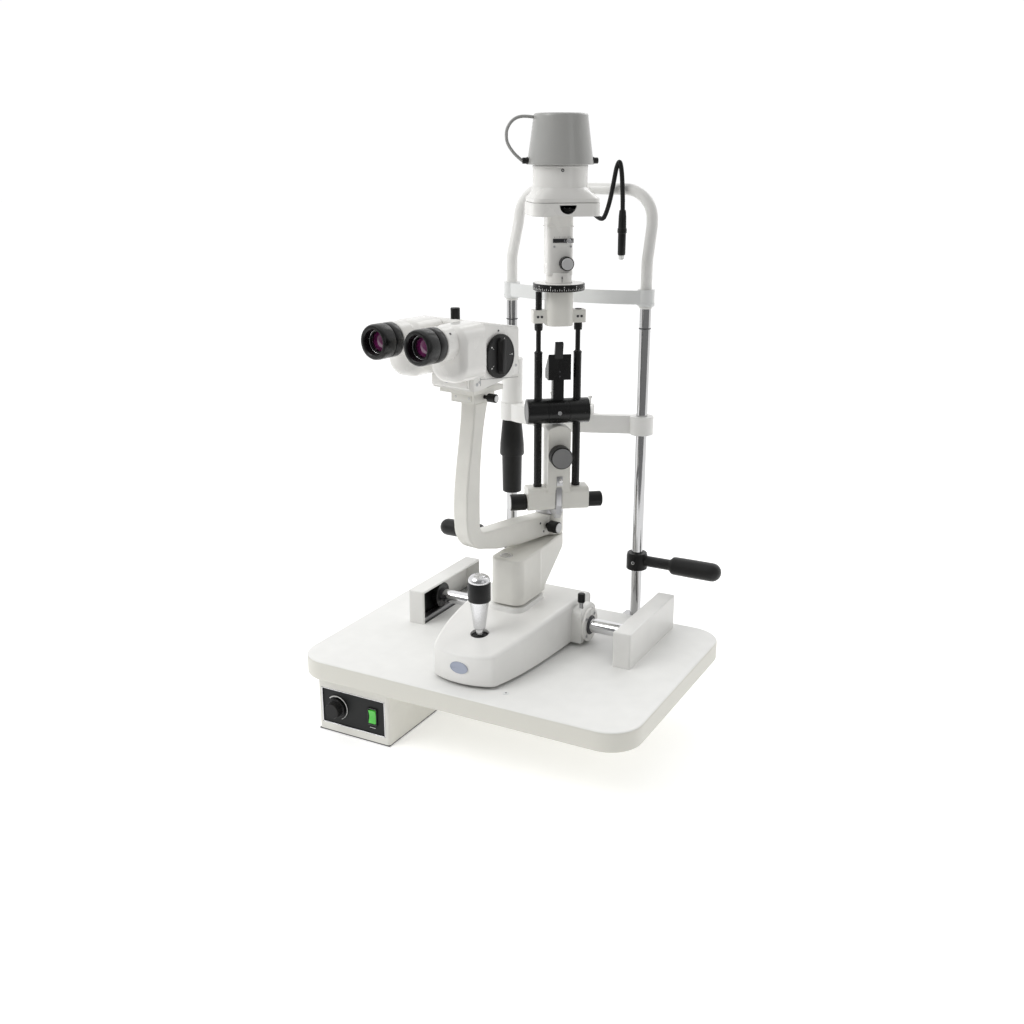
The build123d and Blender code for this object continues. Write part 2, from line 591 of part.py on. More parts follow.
for side, sign in (("left", -1), ("right", 1)):
    housing_centre = (sign * EYEPIECE_T, HOUSING_Z)
    with BuildPart() as ocular_housing:
        with BuildSketch(on(SCOPE, Plane.XZ.offset(BODY_FRONT + GAP))):
            with Locations(housing_centre):
                RectangleRounded(HOUSING_WIDTH, HOUSING_HEIGHT, 22)
        extrude(amount=HOUSING_FRONT - BODY_FRONT - GAP)
        fillet(ocular_housing.faces().sort_by(Axis.Y)[0].edges(), radius=9)
        with BuildSketch(on(SCOPE, Plane.XZ.offset(HOUSING_FRONT - 2))):
            with Locations((sign * EYEPIECE_T, EYEPIECE_Z)):
                Circle(21)
        extrude(amount=TUBE_FRONT - HOUSING_FRONT + 2)
        with BuildSketch(on(SCOPE, Plane.XZ.offset(BODY_FRONT + 5))):
            with Locations(housing_centre):
                RectangleRounded(HOUSING_WIDTH - 10, HOUSING_HEIGHT - 10, 17)
        extrude(amount=HOUSING_FRONT - BODY_FRONT - 12, mode=Mode.SUBTRACT)
        with Locations(SCOPE * Location((sign * EYEPIECE_T, -TUBE_FRONT, EYEPIECE_Z), (90, 0, 0))):
            Cylinder(18 + SLIP, 60, mode=Mode.SUBTRACT)
        with Locations(SCOPE * Location((sign * OBJECTIVE_T, -BODY_FRONT, OPTIC_Z), (90, 0, 0))):
            Cylinder(5, 20, mode=Mode.SUBTRACT)
        with Locations(SCOPE * Location((sign * (EYEPIECE_T + HOUSING_WIDTH / 2), -BODY_FRONT, HOUSING_Z), (0, 0, 45))):
            Box(12, 12, 90, mode=Mode.SUBTRACT)
    ocular_housing.part.label = f"{side}_ocular_housing"
    export_step(ocular_housing.part, f"parts/{side}_ocular_housing.step")

    with BuildPart() as eyepiece:
        with BuildSketch(on(SCOPE, Plane.XZ.offset(TUBE_FRONT - 16))):
            with Locations((sign * EYEPIECE_T, EYEPIECE_Z)):
                Circle(18)
        extrude(amount=20)
        with BuildSketch(on(SCOPE, Plane.XZ.offset(TUBE_FRONT + GAP))):
            with Locations((sign * EYEPIECE_T, EYEPIECE_Z)):
                Circle(20.3)
        extrude(amount=18)
        with BuildSketch(on(SCOPE, Plane.XZ.offset(TUBE_FRONT + 18))):
            with Locations((sign * EYEPIECE_T, EYEPIECE_Z)):
                Circle(21.5)
        extrude(amount=EYEPIECE_FRONT - TUBE_FRONT - 18)
        with Locations(SCOPE * Location((sign * EYEPIECE_T, -EYEPIECE_FRONT, EYEPIECE_Z), (90, 0, 0))):
            Cylinder(15, 20, mode=Mode.SUBTRACT)
            Cylinder(12, 110, mode=Mode.SUBTRACT)
        with Locations(SCOPE * Location((sign * EYEPIECE_T, -EYEPIECE_FRONT + 13.5, EYEPIECE_Z), (90, 0, 0))):
            Cylinder(11.97, 5)
    eyepiece.part.label = f"{side}_eyepiece"
    export_step(eyepiece.part, f"parts/{side}_eyepiece.step")

# ---------------------------------------------------------------- illumination arm and tower
CROSS_BOTTOM = 217.5
CROSS_TOP = 249
CROSS_HALF = 43
CROSS_BACK = 30
CROSS_FRONT = 64
SLIT_SHAFT_Z = 227
SLIT_SHAFT_R = 4
ROD_T = 27.1
ROD_R = 5.5
NECK_R = 3.4
PIN_R = 4.3
BARREL_Z = 356
BARREL_R = 17.2
BARREL_HALF = 43
MIRROR_HALF = 14.5
STUB_R = 6
CENTRING_Z = 297
CLAMP_BOTTOM = 477.5
CLAMP_TOP = 494.5
RING_BOTTOM = 520.5
RING_TOP = 530
RING_R = 34.7
LENS_R = 13

with BuildPart() as illumination_arm:
    with Locations(LAMP * Location((0, 0, 198.5))):
        Cylinder(HUB_R, 13.5, align=(Align.CENTER, Align.CENTER, Align.MIN))
    with BuildSketch(on(LAMP, Plane.YZ)):
        Polygon((-8, 204), (-56, 204), (-64, 212), (-64, SLIT_SHAFT_Z), (-30, SLIT_SHAFT_Z), (-30, 212), (-8, 212),
                align=None)
        with Locations((-TOWER_R, SLIT_SHAFT_Z)):
            Circle(17)
    extrude(amount=4.2, both=True)
    with Locations(LAMP * Location((0, 0, 205))):
        Cylinder(SPINDLE_R + SLIP, 40, mode=Mode.SUBTRACT)
    with Locations(LAMP * Location((0, -TOWER_R, SLIT_SHAFT_Z), (0, 90, 0))):
        Cylinder(SLIT_SHAFT_R + SLIP, 20, mode=Mode.SUBTRACT)
illumination_arm.part.label = "illumination_arm"
export_step(illumination_arm.part, "parts/illumination_arm.step")

with BuildPart() as tower_foot:
    with BuildSketch(on(LAMP, Plane.YZ)):
        with Locations((-(CROSS_BACK + CROSS_FRONT) / 2, (CROSS_BOTTOM + CROSS_TOP) / 2)):
            RectangleRounded(CROSS_FRONT - CROSS_BACK, CROSS_TOP - CROSS_BOTTOM, 7)
    extrude(amount=CROSS_HALF, both=True)
    with BuildSketch(on(LAMP, Plane.XZ.offset(CROSS_BACK))):
        with BuildLine():
            Polyline((-15.6, 332), (-15.6, CROSS_TOP - 6), (15.6, CROSS_TOP - 6), (15.6, 332))
            ThreePointArc((-15.6, 332), (0, 338), (15.6, 332))
        make_face()
    extrude(amount=CROSS_FRONT + 1 - CROSS_BACK)
    with BuildSketch(on(LAMP, Plane.YZ)):
        with Locations((-(CROSS_BACK + CROSS_FRONT) / 2, 227)):
            Rectangle(CROSS_FRONT - CROSS_BACK + 4, 42)
    extrude(amount=4.6, both=True, mode=Mode.SUBTRACT)
    with Locations(LAMP * Location((0, -TOWER_R, SLIT_SHAFT_Z), (0, 90, 0))):
        Cylinder(SLIT_SHAFT_R + SLIP, 100, mode=Mode.SUBTRACT)
    with Locations(LAMP * Location((0, -CROSS_FRONT - 1, CENTRING_Z), (90, 0, 0))):
        Cylinder(SLIT_SHAFT_R, 30, mode=Mode.SUBTRACT)
    for sign in (1, -1):
        with Locations(LAMP * Location((sign * ROD_T, -TOWER_R, CROSS_TOP))):
            Cylinder(ROD_R + 0.02, 26, mode=Mode.SUBTRACT)
tower_foot.part.label = "tower_foot"
export_step(tower_foot.part, "parts/tower_foot.step")

with BuildPart() as slit_width_knobs:
    with Locations(LAMP * Location((0, -TOWER_R, SLIT_SHAFT_Z), (0, 90, 0))):
        Cylinder(SLIT_SHAFT_R, 110)
    with Locations(LAMP * Location((-55, -TOWER_R, SLIT_SHAFT_Z), (0, 90, 0))):
        Cylinder(11.3, 23)
    with Locations(LAMP * Location((54, -TOWER_R, SLIT_SHAFT_Z), (0, 90, 0))):
        Cylinder(10.6, 21)
slit_width_knobs.part.label = "slit_width_knobs"
export_step(slit_width_knobs.part, "parts/slit_width_knobs.step")

with BuildPart() as centring_knob:
    with Locations(LAMP * Location((0, -CROSS_FRONT + 5, CENTRING_Z), (90, 0, 0))):
        Cylinder(SLIT_SHAFT_R - 0.05, 18)
    with Locations(LAMP * Location((0, -CROSS_FRONT - 6.5, CENTRING_Z), (90, 0, 0))):
        Cylinder(15.3, 10)
    with Locations(LAMP * Location((0, -CROSS_FRONT - 15.5, CENTRING_Z), (90, 0, 0))):
        Cylinder(14.6, 9)
centring_knob.part.label = "centring_knob"
export_step(centring_knob.part, "parts/centring_knob.step")

barrel_centre = (MIRROR_HALF + BARREL_HALF) / 2

with BuildPart() as tower_rods:
    for sign in (1, -1):
        rod_top = CLAMP_TOP + 1 if sign > 0 else RING_BOTTOM - 2
        with Locations(LAMP * Location((sign * ROD_T, -TOWER_R, CROSS_TOP - 12))):
            Cylinder(ROD_R, 437 - CROSS_TOP + 12, align=(Align.CENTER, Align.CENTER, Align.MIN))
            Cylinder(NECK_R, CLAMP_BOTTOM - CROSS_TOP + 8, align=(Align.CENTER, Align.CENTER, Align.MIN))
        with Locations(LAMP * Location((sign * ROD_T, -TOWER_R, CLAMP_BOTTOM - GAP))):
            Cylinder(ROD_R, 10, align=(Align.CENTER, Align.CENTER, Align.MAX))
        with Locations(LAMP * Location((sign * ROD_T, -TOWER_R, CLAMP_BOTTOM - 5))):
            Cylinder(PIN_R, rod_top - CLAMP_BOTTOM + 5, align=(Align.CENTER, Align.CENTER, Align.MIN))
    for sign in (1, -1):
        with BuildPart(mode=Mode.PRIVATE) as barrel:
            with Locations(LAMP * Location((sign * barrel_centre, -TOWER_R, BARREL_Z), (0, 90, 0))):
                Cylinder(BARREL_R, BARREL_HALF - MIRROR_HALF - GAP)
            with Locations(LAMP * Location((sign * ROD_T, -TOWER_R, BARREL_Z))):
                Cylinder(ROD_R + 0.02, 60, mode=Mode.SUBTRACT)
            with Locations(LAMP * Location((sign * MIRROR_HALF, -TOWER_R, BARREL_Z), (0, 90, 0))):
                Cylinder(STUB_R + SLIP, 12, mode=Mode.SUBTRACT)
        add(barrel.part)
tower_rods.part.label = "tower_rods"
export_step(tower_rods.part, "parts/tower_rods.step")

with BuildPart() as mirror_holder:
    with Locations(LAMP * Location((0, -TOWER_R, BARREL_Z), (0, 90, 0))):
        Cylinder(BARREL_R, 2 * MIRROR_HALF - GAP)
        Cylinder(STUB_R, 2 * MIRROR_HALF + 10)
    with Locations(LAMP * Location((0, -TOWER_R, 388))):
        Box(15, 12, 40)
    with BuildSketch(on(LAMP, Plane.YZ)):
        Polygon((-60, 401), (-60, 436), (-37, 413), (-37, 401), align=None)
    extrude(amount=15.5, both=True)
    with BuildSketch(on(LAMP, Plane.YZ.offset(-1.5))):
        Polygon((-60, 430), (-64, 451), (-60, 453), (-54, 430), align=None)
    extrude(amount=5.5, both=True)
mirror_holder.part.label = "mirror_holder"
export_step(mirror_holder.part, "parts/mirror_holder.step")

with BuildPart() as mirror:
    with BuildSketch(on(LAMP, Plane.YZ)):
        Polygon((-53.6, 430.2), (-51.8, 432), (-35.4, 415.6), (-37.2, 413.8), align=None)
    extrude(amount=12, both=True)
mirror.part.label = "mirror"
export_step(mirror.part, "parts/mirror.step")

with BuildPart() as projection_housing:
    with BuildSketch(Plane(TOWER).offset(474)):
        RectangleRounded(36, 36, 12)
    extrude(amount=RING_BOTTOM - 0.1 - 474)
    with BuildSketch(Plane(TOWER).offset(CLAMP_BOTTOM)):
        RectangleRounded(72, 18, 2)
    extrude(amount=CLAMP_TOP - CLAMP_BOTTOM)
    with Locations(TOWER * Location((0, 0, 500))):
        Cylinder(LENS_R, 60, mode=Mode.SUBTRACT)
    for sign in (1, -1):
        with Locations(TOWER * Location((sign * ROD_T, 0, 486))):
            Cylinder(PIN_R + 0.02, 40, mode=Mode.SUBTRACT)
    with Locations(TOWER * Location((0, 0, 479))):
        Cylinder(LENS_R - 0.03, 5)
projection_housing.part.label = "projection_housing"
export_step(projection_housing.part, "parts/projection_housing.step")

with BuildPart() as scale_ring:
    with BuildSketch(Plane(TOWER).offset(RING_BOTTOM)):
        Circle(RING_R)
        Circle(LENS_R + 0.2, mode=Mode.SUBTRACT)
    extrude(amount=RING_TOP - RING_BOTTOM)
    with BuildSketch(Plane(TOWER).offset(RING_BOTTOM + 2.5)):
        Circle(17.8)
    extrude(amount=20, mode=Mode.SUBTRACT)
scale_ring.part.label = "scale_ring"
export_step(scale_ring.part, "parts/scale_ring.step")

# ---------------------------------------------------------------- lamp head
NECK_TOP = 541
SLIT_BOX_TOP = 616.5
SLIT_BOX_LEFT = -18.5
SLIT_BOX_RIGHT = 16.5
SLIT_BOX_BACK = 29
SLIT_BOX_FRONT = 60
BEAM_R = 9
SLIT_KNOB_T = 6
SLIT_KNOB_Z = 556
LEVER_T = 8.5
LEVER_Z = 585
FILTER_BOTTOM = 616.8
FILTER_TOP = 633.4
FILTER_LEFT = -41.5
FILTER_RIGHT = 47.2
WINDOW_T = 2.5
FILTER_BACK = 7
FILTER_FRONT = 87
DISC_T = 13
DISC_OFFSET = -10
DISC_R = 27
DISC_Z = 624
LAMP_BASE_Z = 633.8
DRUM_R = 35.6
DRUM_TOP = 683
CAP_BOTTOM_R = 43
CAP_TOP_R = 35
CAP_BOTTOM = 680.2
CAP_TOP = 743

with BuildPart() as slit_housing:
    with Locations(TOWER * Location((0, 0, 500))):
        Cylinder(LENS_R - SLIP, NECK_TOP - 500 + 2, align=(Align.CENTER, Align.CENTER, Align.MIN))
    with Locations(TOWER * Location((0, 0, RING_BOTTOM + 2.9))):
        Cylinder(17.3, NECK_TOP - RING_BOTTOM, align=(Align.CENTER, Align.CENTER, Align.MIN))
    with BuildSketch(Plane(LAMP).offset(NECK_TOP)):
        with Locations(((SLIT_BOX_LEFT + SLIT_BOX_RIGHT) / 2, -(SLIT_BOX_BACK + SLIT_BOX_FRONT) / 2)):
            RectangleRounded(SLIT_BOX_RIGHT - SLIT_BOX_LEFT, SLIT_BOX_FRONT - SLIT_BOX_BACK, 6)
    extrude(amount=SLIT_BOX_TOP - NECK_TOP)
    with Locations(TOWER * Location((0, 0, 560))):
        Cylinder(BEAM_R, 140, mode=Mode.SUBTRACT)
    with Locations(LAMP * Location((SLIT_KNOB_T, -SLIT_BOX_FRONT, SLIT_KNOB_Z), (90, 0, 0))):
        Cylinder(3, 16, mode=Mode.SUBTRACT)
    with Locations(LAMP * Location((2.5, -SLIT_BOX_FRONT, LEVER_Z))):
        Box(27, 20, 4, mode=Mode.SUBTRACT)
slit_housing.part.label = "slit_housing"
export_step(slit_housing.part, "parts/slit_housing.step")

with BuildPart() as slit_knob:
    with Locations(LAMP * Location((SLIT_KNOB_T, -SLIT_BOX_FRONT, SLIT_KNOB_Z), (90, 0, 0))):
        Cylinder(2.94, 14)
    with Locations(LAMP * Location((SLIT_KNOB_T, -SLIT_BOX_FRONT - 3.9, SLIT_KNOB_Z), (90, 0, 0))):
        Cylinder(9.2, 7)
    with Locations(LAMP * Location((SLIT_KNOB_T, -SLIT_BOX_FRONT - 9.7, SLIT_KNOB_Z), (90, 0, 0))):
        Cylinder(8.4, 5)
slit_knob.part.label = "slit_knob"
export_step(slit_knob.part, "parts/slit_knob.step")

with BuildPart() as filter_lever:
    with Locations(LAMP * Location((LEVER_T, -SLIT_BOX_FRONT + 4, LEVER_Z))):
        Box(9, 6, 3)
    with Locations(LAMP * Location((LEVER_T, -SLIT_BOX_FRONT - 2, LEVER_Z), (90, 0, 0))):
        Cylinder(1.4, 10)
    with Locations(LAMP * Location((LEVER_T, -SLIT_BOX_FRONT - 6, LEVER_Z), (90, 0, 0))):
        Cylinder(3, 7)
filter_lever.part.label = "filter_lever"
export_step(filter_lever.part, "parts/filter_lever.step")


def filter_outline(inset):
    """Plan of the square filter turret housing with its rounded corners."""
    with BuildSketch() as outline:
        with Locations(((FILTER_LEFT + FILTER_RIGHT) / 2, -(FILTER_BACK + FILTER_FRONT) / 2)):
            RectangleRounded(FILTER_RIGHT - FILTER_LEFT - 2 * inset, FILTER_FRONT - FILTER_BACK - 2 * inset,
                             14 - inset)
    return outline.sketch


with BuildPart() as filter_housing:
    with BuildSketch(Plane(LAMP).offset(FILTER_BOTTOM)):
        add(filter_outline(0))
    extrude(amount=FILTER_TOP - FILTER_BOTTOM)
    with BuildSketch(Plane(LAMP).offset(FILTER_BOTTOM + 2.6)):
        add(filter_outline(2.5))
    extrude(amount=FILTER_TOP - FILTER_BOTTOM - 5.2, mode=Mode.SUBTRACT)
    with Locations(TOWER * Location((0, 0, 625))):
        Cylinder(BEAM_R + 4, 30, mode=Mode.SUBTRACT)
    with Locations(TOWER * Location((DISC_T, DISC_OFFSET, FILTER_BOTTOM + 2.6))):
        Cylinder(3, 6.2, align=(Align.CENTER, Align.CENTER, Align.MIN))
    with BuildSketch(on(LAMP, Plane.XZ.offset(FILTER_FRONT))):
        with Locations((WINDOW_T, FILTER_TOP - 2.6)):
            Circle(11)
        with Locations((WINDOW_T, FILTER_TOP + 7.4)):
            Rectangle(40, 20, mode=Mode.SUBTRACT)
    extrude(amount=-4, mode=Mode.SUBTRACT)
filter_housing.part.label = "filter_housing"
export_step(filter_housing.part, "parts/filter_housing.step")

with BuildPart() as filter_disc:
    with Locations(TOWER * Location((DISC_T, DISC_OFFSET, DISC_Z))):
        Cylinder(DISC_R, 5)
        with PolarLocations(16.4, 5, start_angle=142.4):
            Cylinder(6, 10, mode=Mode.SUBTRACT)
        Cylinder(3 + SLIP, 10, mode=Mode.SUBTRACT)
filter_disc.part.label = "filter_disc"
export_step(filter_disc.part, "parts/filter_disc.step")

with BuildPart() as lamp_house:
    with BuildSketch(Plane(LAMP).offset(LAMP_BASE_Z)):
        add(filter_outline(1))
    extrude(amount=5)
    with BuildSketch(Plane(LAMP).offset(LAMP_BASE_Z + 5)):
        add(filter_outline(1.5))
    with BuildSketch(Plane(TOWER).offset(652)):
        Circle(DRUM_R)
    loft()
    with Locations(TOWER * Location((0, 0, 652))):
        Cylinder(DRUM_R, DRUM_TOP - 652, align=(Align.CENTER, Align.CENTER, Align.MIN))
    with Locations(TOWER * Location((0, 0, 653))):
        Cylinder(26, 40, align=(Align.CENTER, Align.CENTER, Align.MIN), mode=Mode.SUBTRACT)
    with Locations(TOWER * Location((0, 0, 630))):
        Cylinder(BEAM_R + 4, 60, mode=Mode.SUBTRACT)
lamp_house.part.label = "lamp_house"
export_step(lamp_house.part, "parts/lamp_house.step")

with BuildPart() as lamp_bulb:
    with Locations(TOWER * Location((0, 0, 653))):
        Cylinder(16, 22, align=(Align.CENTER, Align.CENTER, Align.MIN))
        Cylinder(12.5, 12, mode=Mode.SUBTRACT)
    with Locations(TOWER * Location((0, 0, 680))):
        Cylinder(9, 22, align=(Align.CENTER, Align.CENTER, Align.MIN))
    with Locations(TOWER * Location((0, 0, 702))):
        Sphere(9)
    with Locations(TOWER * Location((0, 0, 672))):
        Cylinder(6, 12, align=(Align.CENTER, Align.CENTER, Align.MIN))
lamp_bulb.part.label = "lamp_bulb"
export_step(lamp_bulb.part, "parts/lamp_bulb.step")

with BuildPart() as lamp_cap:
    with BuildSketch(on(TOWER, Plane.XZ)):
        Polygon((0, CAP_BOTTOM), (CAP_BOTTOM_R, CAP_BOTTOM), (CAP_TOP_R, CAP_TOP - 3), (CAP_TOP_R - 3, CAP_TOP),
                (0, CAP_TOP), align=None)
    revolve(axis=TOWER_AXIS)
    with BuildSketch(on(TOWER, Plane.XZ)):
        Polygon((0, CAP_BOTTOM), (CAP_BOTTOM_R - 2.5, CAP_BOTTOM), (CAP_TOP_R - 2.7, CAP_TOP - 3),
                (0, CAP_TOP - 3), align=None)
    revolve(axis=TOWER_AXIS, mode=Mode.SUBTRACT)
    for sign in (1, -1):
        with Locations(TOWER * Location((sign * 45.5, 0, 685), (0, 90, 0))):
            Cylinder(4, 9)
    with Locations(TOWER * Location((-34, 0, 738), (0, -81.2, 0))):
        Cylinder(2.4, 14, mode=Mode.SUBTRACT)
lamp_cap.part.label = "lamp_cap"
export_step(lamp_cap.part, "parts/lamp_cap.step")

LEAD_POINTS = ((-32.6, 737.6), (-48, 740), (-61.5, 736), (-69.5, 725.5), (-71, 716), (-69.5, 706),
               (-61.5, 694.5), (-51.8, 686.2))

lead_runs = [Vector(*after) - Vector(*before) for before, after in zip(LEAD_POINTS, LEAD_POINTS[1:])]
LEAD_RADII = [0.45 * min(into.length, out.length) / math.tan(math.radians(into.get_angle(out) / 2))
              for into, out in zip(lead_runs, lead_runs[1:])]
print("lamp lead bend radii", [round(radius, 2) for radius in LEAD_RADII])

with BuildPart() as lamp_lead:
    with BuildLine(on(TOWER, Plane.XZ)) as lead_path:
        FilletPolyline(LEAD_POINTS, radius=LEAD_RADII)
    with BuildSketch(Plane(origin=lead_path.line @ 0, z_dir=lead_path.line % 0)):
        Circle(2.1)
    sweep()
lamp_lead.part.label = "lamp_lead"
export_step(lamp_lead.part, "parts/lamp_lead.step")

# ---------------------------------------------------------------- headrest and chin rest
POST_BOTTOM = -8
POST_TOP = 488
ARCH_R = 8
BAND_THICK = 4
BAND_BOTTOM = 493
BAND_HEIGHT = 19
CHIN_BAR_BOTTOM = 307
CHIN_BAR_TOP = 333
CHIN_PIN_X = 31
SLEEVE_R = 18
GRIP_Z = 114
CLAMP_R = 15.5
GRIP_R = 13.5

with BuildPart() as headrest_posts:
    for sign in (1, -1):
        with Locations((sign * POST_X, POST_Y, POST_BOTTOM)):
            Cylinder(POST_R, POST_TOP - POST_BOTTOM, align=(Align.CENTER, Align.CENTER, Align.MIN))
        with Locations((sign * POST_X, 190.4, 14)):
            Box(36, 19, 24)
headrest_posts.part.label = "headrest_posts"
export_step(headrest_posts.part, "parts/headrest_posts.step")

with BuildPart() as headrest_arch:
    with BuildLine() as arch_path:
        FilletPolyline((POST_X, POST_Y, POST_TOP), (POST_X, POST_Y, 550), (104.5, 207, 598), (101.5, 212, 646),
                       (-101.5, 212, 646), (-104.5, 207, 598), (-POST_X, POST_Y, 550), (-POST_X, POST_Y, POST_TOP),
                       radius=[26, 26, 42, 42, 26, 26])
    with BuildSketch(Plane(origin=(POST_X, POST_Y, POST_TOP), z_dir=(0, 0, 1))):
        Circle(ARCH_R)
    sweep()
headrest_arch.part.label = "headrest_arch"
export_step(headrest_arch.part, "parts/headrest_arch.step")

with BuildPart() as forehead_band:
    with BuildSketch(Plane.XY.offset(BAND_BOTTOM)):
        with BuildLine():
            ThreePointArc((-POST_X, POST_Y - 10), (0, 158), (POST_X, POST_Y - 10))
            Line((POST_X, POST_Y - 10), (POST_X, POST_Y - 10 + BAND_THICK))
            ThreePointArc((POST_X, POST_Y - 10 + BAND_THICK), (0, 158 + BAND_THICK),
                          (-POST_X, POST_Y - 10 + BAND_THICK))
            Line((-POST_X, POST_Y - 10 + BAND_THICK), (-POST_X, POST_Y - 10))
        make_face()
    extrude(amount=BAND_HEIGHT)
    for sign in (1, -1):
        with Locations((sign * POST_X, POST_Y, BAND_BOTTOM - 3)):
            Cylinder(12, BAND_HEIGHT + 4, align=(Align.CENTER, Align.CENTER, Align.MIN))
            Cylinder(POST_R + 0.02, 80, mode=Mode.SUBTRACT)
forehead_band.part.label = "forehead_band"
export_step(forehead_band.part, "parts/forehead_band.step")

with BuildPart() as chin_rest:
    with BuildSketch(Plane.XY.offset(CHIN_BAR_BOTTOM)):
        with BuildLine():
            FilletPolyline((-POST_X, POST_Y - 6), (-84, 173), (0, 154.5), (36, 166), (92, 188), (POST_X, 189),
                           radius=20)
        trace(line_width=13)
        with Locations((-POST_X, POST_Y)):
            Circle(SLEEVE_R)
        with Locations((POST_X, POST_Y)):
            Circle(17)
    extrude(amount=CHIN_BAR_TOP - CHIN_BAR_BOTTOM)
    with Locations((-POST_X, POST_Y, CHIN_BAR_TOP - 1)):
        Cylinder(SLEEVE_R - 2, 401 - CHIN_BAR_TOP, align=(Align.CENTER, Align.CENTER, Align.MIN))
    with BuildSketch(Plane.XY.offset(CHIN_BAR_TOP)):
        with Locations((0, 168)):
            RectangleRounded(76, 44, 20)
    extrude(amount=12)
    with Locations(Location((0, 168, CHIN_BAR_TOP + 58), (90, 0, 0))):
        Cylinder(54, 80, mode=Mode.SUBTRACT)
    for sign in (1, -1):
        with Locations((sign * CHIN_PIN_X, 174, CHIN_BAR_TOP + 10)):
            Cylinder(1.6, 13, align=(Align.CENTER, Align.CENTER, Align.MIN))
        with Locations((sign * CHIN_PIN_X, 174, CHIN_BAR_TOP + 22)):
            Cylinder(3, 3, align=(Align.CENTER, Align.CENTER, Align.MIN))
        with Locations((sign * POST_X, POST_Y, 350)):
            Cylinder(POST_R + SLIP, 120, mode=Mode.SUBTRACT)
chin_rest.part.label = "chin_rest"
export_step(chin_rest.part, "parts/chin_rest.step")

with BuildPart() as height_sleeve:
    with BuildSketch(Plane.XZ):
        Polygon((8.06, 192), (14.5, 192), (15.6, 250.5), (18.8, 252.5), (18.2, 268), (14.3, 306.4), (8.06, 306.4), align=None)
    revolve(axis=Axis.Z)
height_sleeve.part = height_sleeve.part.moved(Location((-POST_X, POST_Y, 0)))
height_sleeve.part.label = "height_sleeve"
export_step(height_sleeve.part, "parts/height_sleeve.step")

for side, sign in (("left", -1), ("right", 1)):
    with BuildPart() as hand_grip:
        with Locations((sign * POST_X, POST_Y, 100.4)):
            Cylinder(CLAMP_R, 25.4, align=(Align.CENTER, Align.CENTER, Align.MIN))
        with Locations(Location((sign * 142, POST_Y, GRIP_Z), (0, 90, 0))):
            Cylinder(8, 50)
        with Locations(Location((sign * 191.5, POST_Y, GRIP_Z), (0, 90, 0))):
            Cylinder(GRIP_R, 63)
        with Locations((sign * 223, POST_Y, GRIP_Z)):
            Sphere(GRIP_R)
        with Locations((sign * POST_X, POST_Y, GRIP_Z)):
            Cylinder(POST_R + SLIP, 60, mode=Mode.SUBTRACT)
    hand_grip.part.label = f"{side}_hand_grip"
    export_step(hand_grip.part, f"parts/{side}_hand_grip.step")

LAMP_STALK_X = 63.5
STALK_Y = 198

with BuildPart() as fixation_arm:
    with BuildLine(Plane.XZ.offset(-STALK_Y)) as stalk_path:
        FilletPolyline((-10, 631), (32, 605), (43, 628), (50, 668), (57.2, 716), (LAMP_STALK_X, 632),
                       (LAMP_STALK_X, 611), radius=[6, 30, 40, 4.4, 20])
    with BuildSketch(Plane(origin=stalk_path.line @ 0, z_dir=stalk_path.line % 0)):
        Circle(3.3)
    sweep()
    with Locations(Location((-10, 212, 646), (0, 90, 0))):
        Cylinder(12, 14)
    with Locations((-10, 200, 634)):
        Box(12, 14, 18)
    with Locations(Location((-10, 212, 646), (0, 90, 0))):
        Cylinder(ARCH_R + SLIP, 60, mode=Mode.SUBTRACT)
    with BuildPart(mode=Mode.PRIVATE) as handle:
        with Locations((LAMP_STALK_X, STALK_Y, 556)):
            Cylinder(5.6, 63, align=(Align.CENTER, Align.CENTER, Align.MIN))
            Cylinder(4, 6, align=(Align.CENTER, Align.CENTER, Align.MAX))
        with Locations((LAMP_STALK_X, STALK_Y, 587.5)):
            Cylinder(6.6, 7, align=(Align.CENTER, Align.CENTER, Align.MIN))
        with Locations((LAMP_STALK_X, STALK_Y, 610)):
            Cylinder(3.33, 20, align=(Align.CENTER, Align.CENTER, Align.MIN), mode=Mode.SUBTRACT)
    add(handle.part)
fixation_arm.part.label = "fixation_arm"
export_step(fixation_arm.part, "parts/fixation_arm.step")
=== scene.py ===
"""Slit lamp on its table top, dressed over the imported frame.

Pieces are drawn in millimetres and scaled to the frame's metres by MM. Material sizes, the floor, the lights
and the camera are in metres.
"""
import math

import bmesh
import bpy
from mathutils import Matrix, Vector


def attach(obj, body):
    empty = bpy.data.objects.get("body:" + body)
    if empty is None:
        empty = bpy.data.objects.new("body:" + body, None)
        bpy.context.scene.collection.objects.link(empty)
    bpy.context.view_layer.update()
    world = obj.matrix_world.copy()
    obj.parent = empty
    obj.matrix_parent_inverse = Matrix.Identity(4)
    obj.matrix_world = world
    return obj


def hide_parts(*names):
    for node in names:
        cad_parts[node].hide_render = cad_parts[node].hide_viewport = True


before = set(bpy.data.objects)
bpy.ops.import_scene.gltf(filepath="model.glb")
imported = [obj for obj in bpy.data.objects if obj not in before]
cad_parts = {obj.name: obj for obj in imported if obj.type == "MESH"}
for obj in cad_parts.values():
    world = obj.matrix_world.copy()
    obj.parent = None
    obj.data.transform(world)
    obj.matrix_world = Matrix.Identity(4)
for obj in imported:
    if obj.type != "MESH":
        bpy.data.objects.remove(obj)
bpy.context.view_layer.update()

MM = 0.001
# Both arms swing about one vertical pivot; the tower's axis stands off from it.
PIVOT_Y = 107
SCOPE_ANGLE = -9.7
LAMP_ANGLE = 38
TOWER_R = 47
# Places that several pieces share.
POST_X, POST_Y = 106, 189.2
ROD_X = 27.1
BARREL_Z = 356
WIDTH_SHAFT_Z = 227
CENTRING_Z = 297
OCULAR_X, OCULAR_Z = 35.25, 478.5
BODY_SIDE = 34
DIAL_Y = -160
STALK_X, STALK_Y = 63.5, 198


